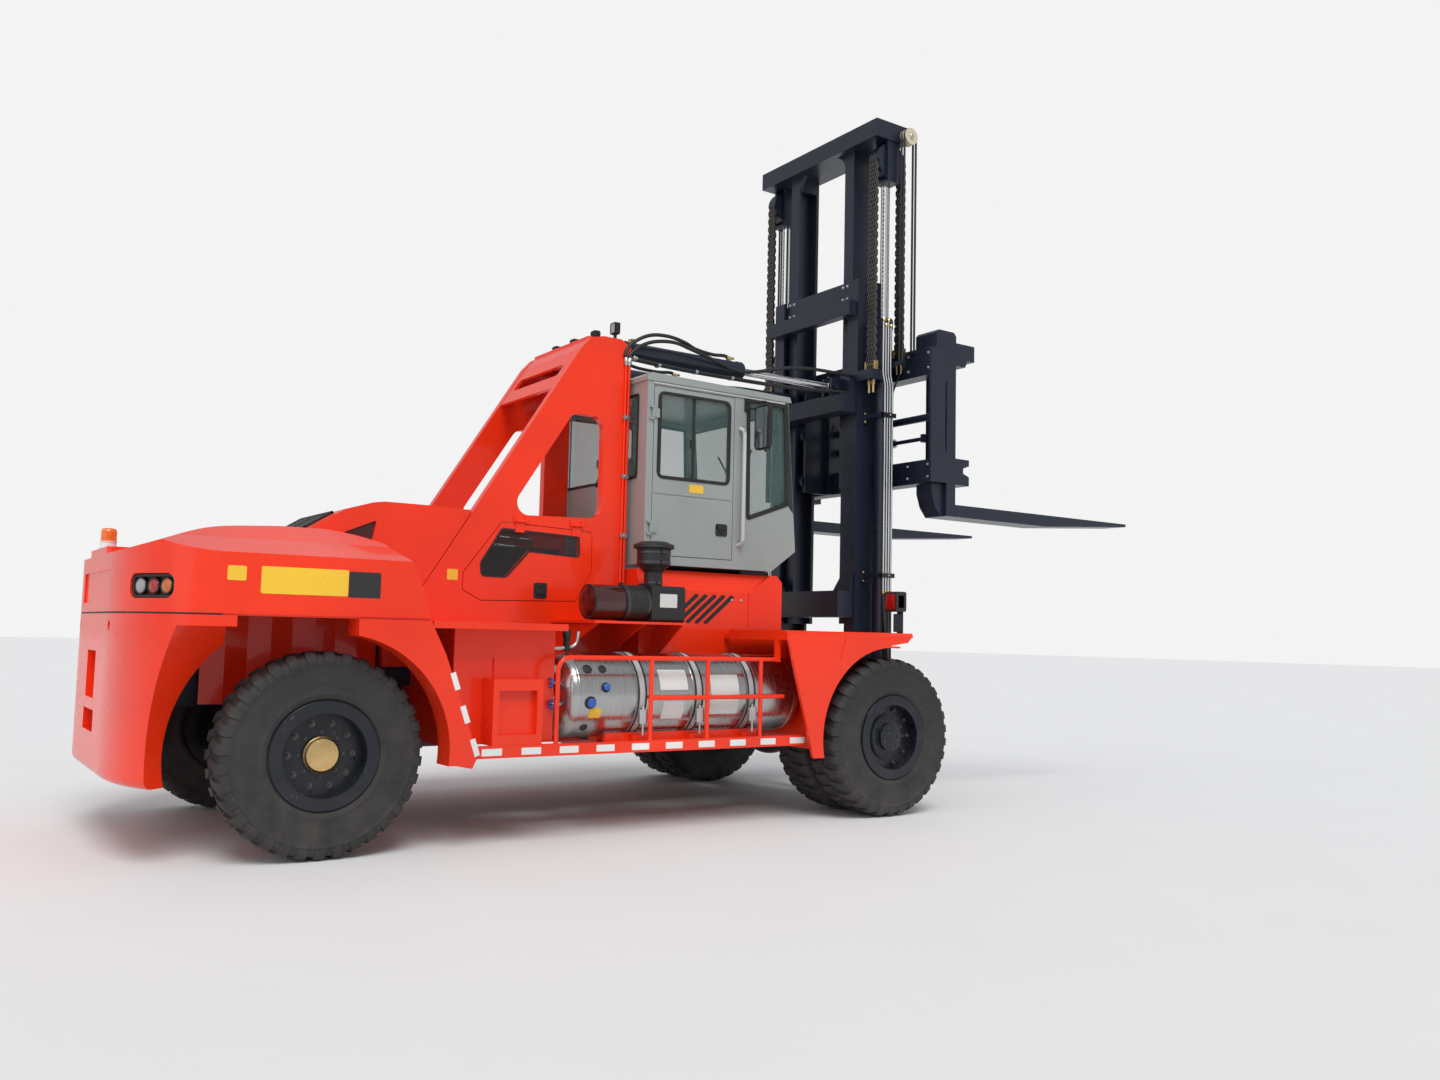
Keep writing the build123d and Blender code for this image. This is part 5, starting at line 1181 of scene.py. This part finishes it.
def leaf_chain(shape, low, high):
    """Rows of link plates, joined by pins: every second row lies between the others."""
    rows, plates = int((high.z - low.z) / 0.044), 9
    pitch, step = (high.z - low.z) / rows, (high.y - low.y) / plates
    mid, half = (low.x + high.x) / 2, (high.x - low.x) / 2
    for r in range(rows):
        foot = low.z + r * pitch
        outline = []
        for end, turn in ((0, pi), (1, 0)):
            for a in [turn + pi * k / 4 for k in range(5)]:
                z = foot + end * pitch + half * 0.72 * sin(a)
                outline.append((mid + half * cos(a), max(low.z, min(high.z, z))))
        for k in range(r % 2, plates, 2):
            shape.plate(outline, low.y + k * step, step * 0.9)
        shape.rod((mid, low.y, foot), (mid, high.y, foot), half * 0.35, 8)


def chain_parts():
    for chain_node, upper, lower, thick in (("chain_rear", "mast_inner", "mast_outer", 0.1),
                                            ("chain_front", "mast_inner", "fork_carriage", 0.04)):
        low, high = box(chain_node)
        x, z, outer_y = (low.x + high.x) / 2, low.z, high.y
        for side in SIDES:
            low.y, high.y = sorted((side * 0.775, side * outer_y))
            chain = Shape()
            leaf_chain(chain, low, high)
            piece = chain.make(f"{chain_node}_links_{WORD[side]}", "chain", None)
            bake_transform(piece)
            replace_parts(piece, chain_node)
            # clevis, threaded anchor and nuts, in yellow zinc
            anchor = Shape()
            for y in (low.y - 0.012, high.y - 0.002):
                anchor.block((x - 0.026, y, z), (x + 0.026, y + 0.014, z + 0.085))
            anchor.rod((x, low.y - 0.018, z + 0.06), (x, high.y + 0.018, z + 0.06), 0.01, 12)
            for y in [(low.y + high.y) / 2 + offset for offset in (-0.03, 0.03)]:
                anchor.rod((x, y, z - thick - 0.13), (x, y, z), 0.013, 14)
                for drop in (0.004, 0.026):
                    anchor.nut((x, y, z - thick - drop), -UP, 0.02, 0.02)
            anchor.make(f"{chain_node}_anchor_{WORD[side]}", "zinc", lower, bevel=0.0015)


def mast_pipe_parts():
    """Four bright pipes up the outside of each lift cylinder, on two bent brackets."""
    y, foot, jog_foot, jog_top, jog = 0.913, 2.02, 4.06, 4.16, 0.03
    for side in SIDES:
        pipes, brackets, ends = Shape(side), Shape(side), Shape(side)
        for x, top in ((0.662, 4.69), (0.695, 4.64), (0.728, 4.69), (0.761, 4.64)):
            points = [(x, y, foot), (x, y, jog_foot), (x - jog, y, jog_top), (x - jog, y, top)]
            pipes.pipe(bent_route(points, 0.04), 0.0095)
            for tip, way in ((points[-1], UP), (points[0], -UP)):
                ends.lathe(pairs(10, 0, 15, 3, 15, 30, 11, 36), tip, way, 6)
        for z in (2.166, 3.754):
            brackets.block((0.602, 0.672, z - 0.022), (0.622, 0.94, z + 0.022))
            brackets.block((0.602, 0.926, z - 0.022), (0.79, 0.94, z + 0.022))
            brackets.block((0.586, 0.68, z - 0.07), (0.64, 0.694, z + 0.05))
            for place in ((0.6, 0.694, z - 0.05), (0.6, 0.694, z + 0.034), (0.712, 0.94, z)):
                ends.nut(place, OUT, 0.009, 0.009)
        pipes.make("mast_pipes_", "bright_steel", "mast_outer")
        ends.make("mast_pipe_fittings_", "zinc", "mast_outer")
        brackets.make("mast_pipe_brackets_", "mast_paint", "mast_outer", bevel=0.002)


def pulley_hoses():
    """Two hoses over each pulley: up from the outer mast, over, and down to the carriage."""
    low, high = box("hose_pulleys")
    x, z = (low.x + high.x) / 2, (low.z + high.z) / 2
    reach, bore, mast_foot, carriage_foot = 0.078, 0.0115, 4.3, 4.42
    back_x, front_x = x - reach, x + reach

    def fall(name, x, y, side, foot):
        route = [(x, y, z - k * (z - foot) / 24) for k in range(25)]
        return Shape(side).pipe(route, bore).make(name, "hose", None, angle=60)

    for side in SIDES:
        for k, y in ((1, 0.974), (2, 1.016)):
            over = [(x - reach * cos(pi * i / 12), y, z + reach * sin(pi * i / 12)) for i in range(13)]
            Shape(side).pipe(over, bore).make(f"hose_over_pulley_{WORD[side]}_{k}", "hose", "mast_inner", angle=60)
            piece = fall(f"mast_side_hose_{WORD[side]}_{k}", back_x, y, side, mast_foot)
            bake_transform(piece)
            piece = fall(f"carriage_hose_{WORD[side]}_{k}", front_x, y, side, carriage_foot)
            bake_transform(piece)
        holder = Shape(side)
        holder.block((back_x - 0.03, 0.905, 4.265), (back_x + 0.03, 1.04, mast_foot))
        holder.block((back_x - 0.03, 0.676, 4.265), (back_x + 0.03, 0.91, 4.285))
        holder.make("hose_holder_", "mast_paint", "mast_outer", bevel=0.002)
        lower = Shape(side).block((front_x - 0.03, 0.95, 4.385), (front_x + 0.06, 1.04, carriage_foot))
        lower.make("carriage_hose_holder_", "mast_paint", "fork_carriage", bevel=0.002)
        cap = Shape(side).lathe(pairs(24, 0, 24, 10, 18, 14), (x, 1.036, z), OUT, 20)
        cap.make("pulley_pin_cap_", "steel", "mast_inner")


def cylinder_parts():
    """Gland nuts, clamps, ports and hoses of the lift cylinders, and bolts on the mast beams."""
    x, y, top = 0.73, 0.81, box("lift_cylinders")[1].z
    for side in SIDES:
        gland = Shape(side).hoop(pairs(85, -100, 91, -95, 91, -12, 82, 4, 52, 6, 52, -4, 84, -20), (x, y, top), UP)
        for z in (1.35, 2.6, 3.7):
            gland.strap(0.085, 0.06, 0.004, (x, y, z), UP)
        gland.make("lift_gland_", "mast_paint", "mast_outer")
        port = Shape(side).rod((x, 0.89, 0.6), (x, 0.93, 0.6), 0.02).rod((x, 0.925, 0.6), (x, 0.925, 0.72), 0.014)
        port.make("lift_port_", "zinc", "mast_outer")
        bolts = Shape(side)
        for z in (5.0, 5.13, 1.8, 1.92):
            for bolt_y in (0.4, 0.47):
                bolts.nut((0.54, bolt_y, z), -ALONG, 0.013, 0.013)
        bolts.make("inner_beam_bolts_", "steel", "mast_inner")
    hose = Shape()
    for side in SIDES:
        route = places(730, 925, 720, 728, 936, 950, 705, 940, 1350, 672, 922, 1740, 662, 913, 1990)
        hose.pipe(mirrored(smooth_route(route), side), 0.013)
        for k in (1, 2, 3):
            px = 0.662 + k * 0.033
            fall = places(0, 913, 1990, 0, 914, 1600, -10, 912 + 4 * k, 1100, -15, 905, 620, -35, 840, 440,
                          -60, 740, 420, -80, 680, 440)
            route = [(px + dx, y, z) for dx, y, z in fall]
            hose.pipe(mirrored(smooth_route(route), side), 0.0115)
    hose.make("lift_cylinder_hoses", "hose", "mast_outer", angle=60)


def carriage_parts():
    """Bolts of the carriage, hoses and glands of the spreading cylinders."""
    bolts, hoses = Shape(), Shape()
    for side in SIDES:
        for y in (0.3, 0.62, 0.94, 1.22):
            for z in (4.22, 4.37, 3.14, 3.26):
                bolts.nut((0.95, side * y, z), -ALONG, 0.012, 0.012)
        for route in (places(1020, 80, 3585, 990, 100, 3700, 930, 240, 3900, 925, 300, 4100, 935, 340, 4200),
                      places(1020, 580, 3585, 980, 600, 3720, 930, 700, 3950, 925, 800, 4150, 935, 900, 4300)):
            hoses.pipe(mirrored(smooth_route(route), side), 0.01)
        bolts.hoop(pairs(42.5, -30, 47, -26, 47, 0, 30, 4, 28.5, -2, 42, -6),
                   (1.04, side * 0.65, 3.54), OUT * side, 36)
    bolts.make("carriage_bolts", "steel", "fork_carriage")
    hoses.make("carriage_hoses", "hose", "fork_carriage", angle=60)


def marker_parts():
    low, high = box("marker_lamps")
    for side in SIDES:
        outline = panel(1.344, 1.822, 1.466, 1.963, 0.018)
        for word, x, way, look in (("front", high.x, 1, "amber_lens"), ("rear", low.x, -1, "red_lens")):
            rings = [set_at(grown(outline, -inset), x + way * (rise - 0.0005), True)
                     for inset, rise in ((0, -0.012), (0, 0.001), (0.006, 0.0035))]
            Shape(side).rings(rings).make(f"marker_{word}_glass_", look, angle=60)
        outline, face = panel(0.33, 1.832, 0.405, 1.953, 0.014), -low.y
        glass = Shape(side).rings([set_at(outline, face - 0.004, False), set_at(grown(outline, -0.003), face, False)])
        glass.make("marker_side_glass_", "red_lens", angle=60)
        plate = Shape(side).plate(panel(0.3, 1.612, 0.42, 1.78, 0.012), 1.446, 0.008)
        plate.make("marker_plate_", "rim_paint", bevel=0.002)


def base_parts():
    """Black inserts in the louvres of the cab base, and bolts along its seam."""
    for side in SIDES:
        inserts, bolts = Shape(side), Shape(side)
        for x in [-1.4 - 0.095 * k for k in range(5)]:
            slot = rounded([(x - 0.004, 1.653), (x + 0.026, 1.65), (x + 0.316, 1.891), (x + 0.286, 1.899)], 0.008)
            inserts.trim(slot, 0, 0.006, CAB_HALF, 0.003)
            inserts.plate(slot, CAB_HALF, 0.001)
        inserts.make("louvre_inserts_", "black_plastic")
        for x in (-1.95, -1.85, -1.1, -1.0):
            bolts.lathe(pairs(12, 0, 12, 3, 8, 6, 0, 7), (x, CAB_HALF, 1.86), OUT, 16)
        bolts.make("base_bolts_", "steel")


def oil_tank_parts():
    """Filler, lid and level gauge of the oil tank on the left side."""
    low, high = box("hydraulic_tank")
    x, y, top = (low.x + high.x) / 2, (low.y + high.y) / 2, high.z
    lids = Shape().lathe(pairs(60, 0, 60, 14, 44, 18, 44, 50, 50, 54, 50, 74, 40, 80, 0, 82),
                         (x - 0.3, y, top), UP, 36)
    lids.lathe(pairs(95, 0, 95, 12, 80, 20, 0, 22), (x + 0.25, y, top), UP)
    for v, u in circle(6, 0.082):
        lids.nut((x + 0.25 + u, y + v, top + 0.012), UP, 0.007, 0.008)
    lids.make("oil_tank_lids", "steel")
    # the gauge takes the clear lamp glass, which glows faintly: a painted glow, since the gauge is no lamp
    gauge = Shape().plate(panel(x - 0.42, top - 0.42, x - 0.38, top - 0.14, 0.012), high.y, 0.012)
    gauge.make("oil_level_gauge", "clear_lens", slot="glass", bevel=0.003)


def step_parts():
    """Non-slip studs on the treads of the cab steps and on the walkway."""
    studs = Shape()
    for z, y in ((0.78, 1.6), (1.06, 1.54), (1.33, 1.48)):
        for k in range(50):
            place = (-1.605 + k // 5 * 0.043, y - 0.205 + k % 5 * 0.052, z + 0.03)
            studs.lathe(pairs(9, 0, 8, 3, 0, 4), place, UP, 8)
    for k in range(38):
        for j in range(12):
            place = (-3.1 + k * 0.05 + j % 2 * 0.025, 0.98 + j * 0.054, 1.6)
            studs.lathe(pairs(10, 0, 8, 3, 0, 4), place, UP, 6)
    studs.make("walkway_studs", "dark_steel")


# ---------------------------------------------------------------- stage


def stage():
    """Plain pale floor and soft light."""
    reach = 120.0
    floor_mesh = bpy.data.meshes.new("floor")
    corners = [(-reach, -reach, 0), (reach, -reach, 0), (reach, reach, 0), (-reach, reach, 0)]
    floor_mesh.from_pydata(corners, [], [[0, 1, 2, 3]])
    floor = linked("floor", floor_mesh)
    material, net, shader = blank_material("pale studio floor", Roughness=0.7)
    net.feed(shader, Base_Color=net.mixed(net.noise(0.8, 4.0), colour((0.76,) * 3), colour((0.8,) * 3)))
    floor_mesh.materials.append(material)
    world = bpy.data.worlds.new("soft studio")
    bpy.context.scene.world = world
    world.use_nodes = True
    net = Net(world.node_tree)
    back = next(n for n in net.tree.nodes if n.type == "BACKGROUND")
    path = node(net.tree, "LightPath")
    seen = net.maths("MAXIMUM", path.outputs["Is Camera Ray"], path.outputs["Is Transmission Ray"])
    height = net.parts(node(net.tree, "TexCoord").outputs["Generated"])[2]
    sky = net.mixed(net.spread(height, 0.0, 0.8), colour((0.62,) * 3), colour((0.44, 0.45, 0.47)))
    net.feed(back, Color=net.mixed(seen, sky, colour((0.9,) * 3)))
    back.inputs["Strength"].default_value = 1.0
    for name, strength, angle, turn in (("key sun", 1.9, 30, (36, 0, -20)), ("fill sun", 0.5, 60, (62, 0, -75))):
        light = bpy.data.lights.new(name, "SUN")
        light.energy = strength
        light.angle = radians(angle)
        linked(name, light).rotation_euler = [radians(a) for a in turn]
    bpy.context.scene.view_settings.view_transform = "Standard"


def camera():
    """The camera where the photograph was taken from, with its focal length in pixels."""
    yaw, pitch, roll = radians(34.91), radians(4.64), radians(1.29)
    focal_pixels, image_width = 1186.6, 1440
    ahead = Vector((sin(yaw) * cos(pitch), cos(yaw) * cos(pitch), sin(pitch)))
    level = Vector((cos(yaw), -sin(yaw), 0))
    down = ahead.cross(level)
    right = level * cos(roll) - down * sin(roll)
    below = level * sin(roll) + down * cos(roll)
    eye = bpy.data.cameras.new("camera")
    eye.sensor_width = 36.0
    eye.lens = focal_pixels / image_width * eye.sensor_width
    eye.clip_end = 400
    seen = linked("camera", eye)
    turn = Matrix((right, -below, -ahead)).transposed()
    seen.matrix_world = Matrix.Translation(at(-7.281, -9.496, 1.537)) @ turn.to_4x4()
    bpy.context.scene.camera = seen


camera()
stage()
give_finishes()
wheel_parts()
tail_lamps()
tail_seam()
beacon()
flank_plates()
tow_pin()
hood_parts()
reflector_parts()
portal_parts()
hoses_over_the_cab()
tilt_parts()
cab_parts()
seat_parts()
mirror_parts()
cleaner_parts()
tank_parts()
chain_parts()
mast_pipe_parts()
pulley_hoses()
cylinder_parts()
carriage_parts()
marker_parts()
base_parts()
oil_tank_parts()
step_parts()
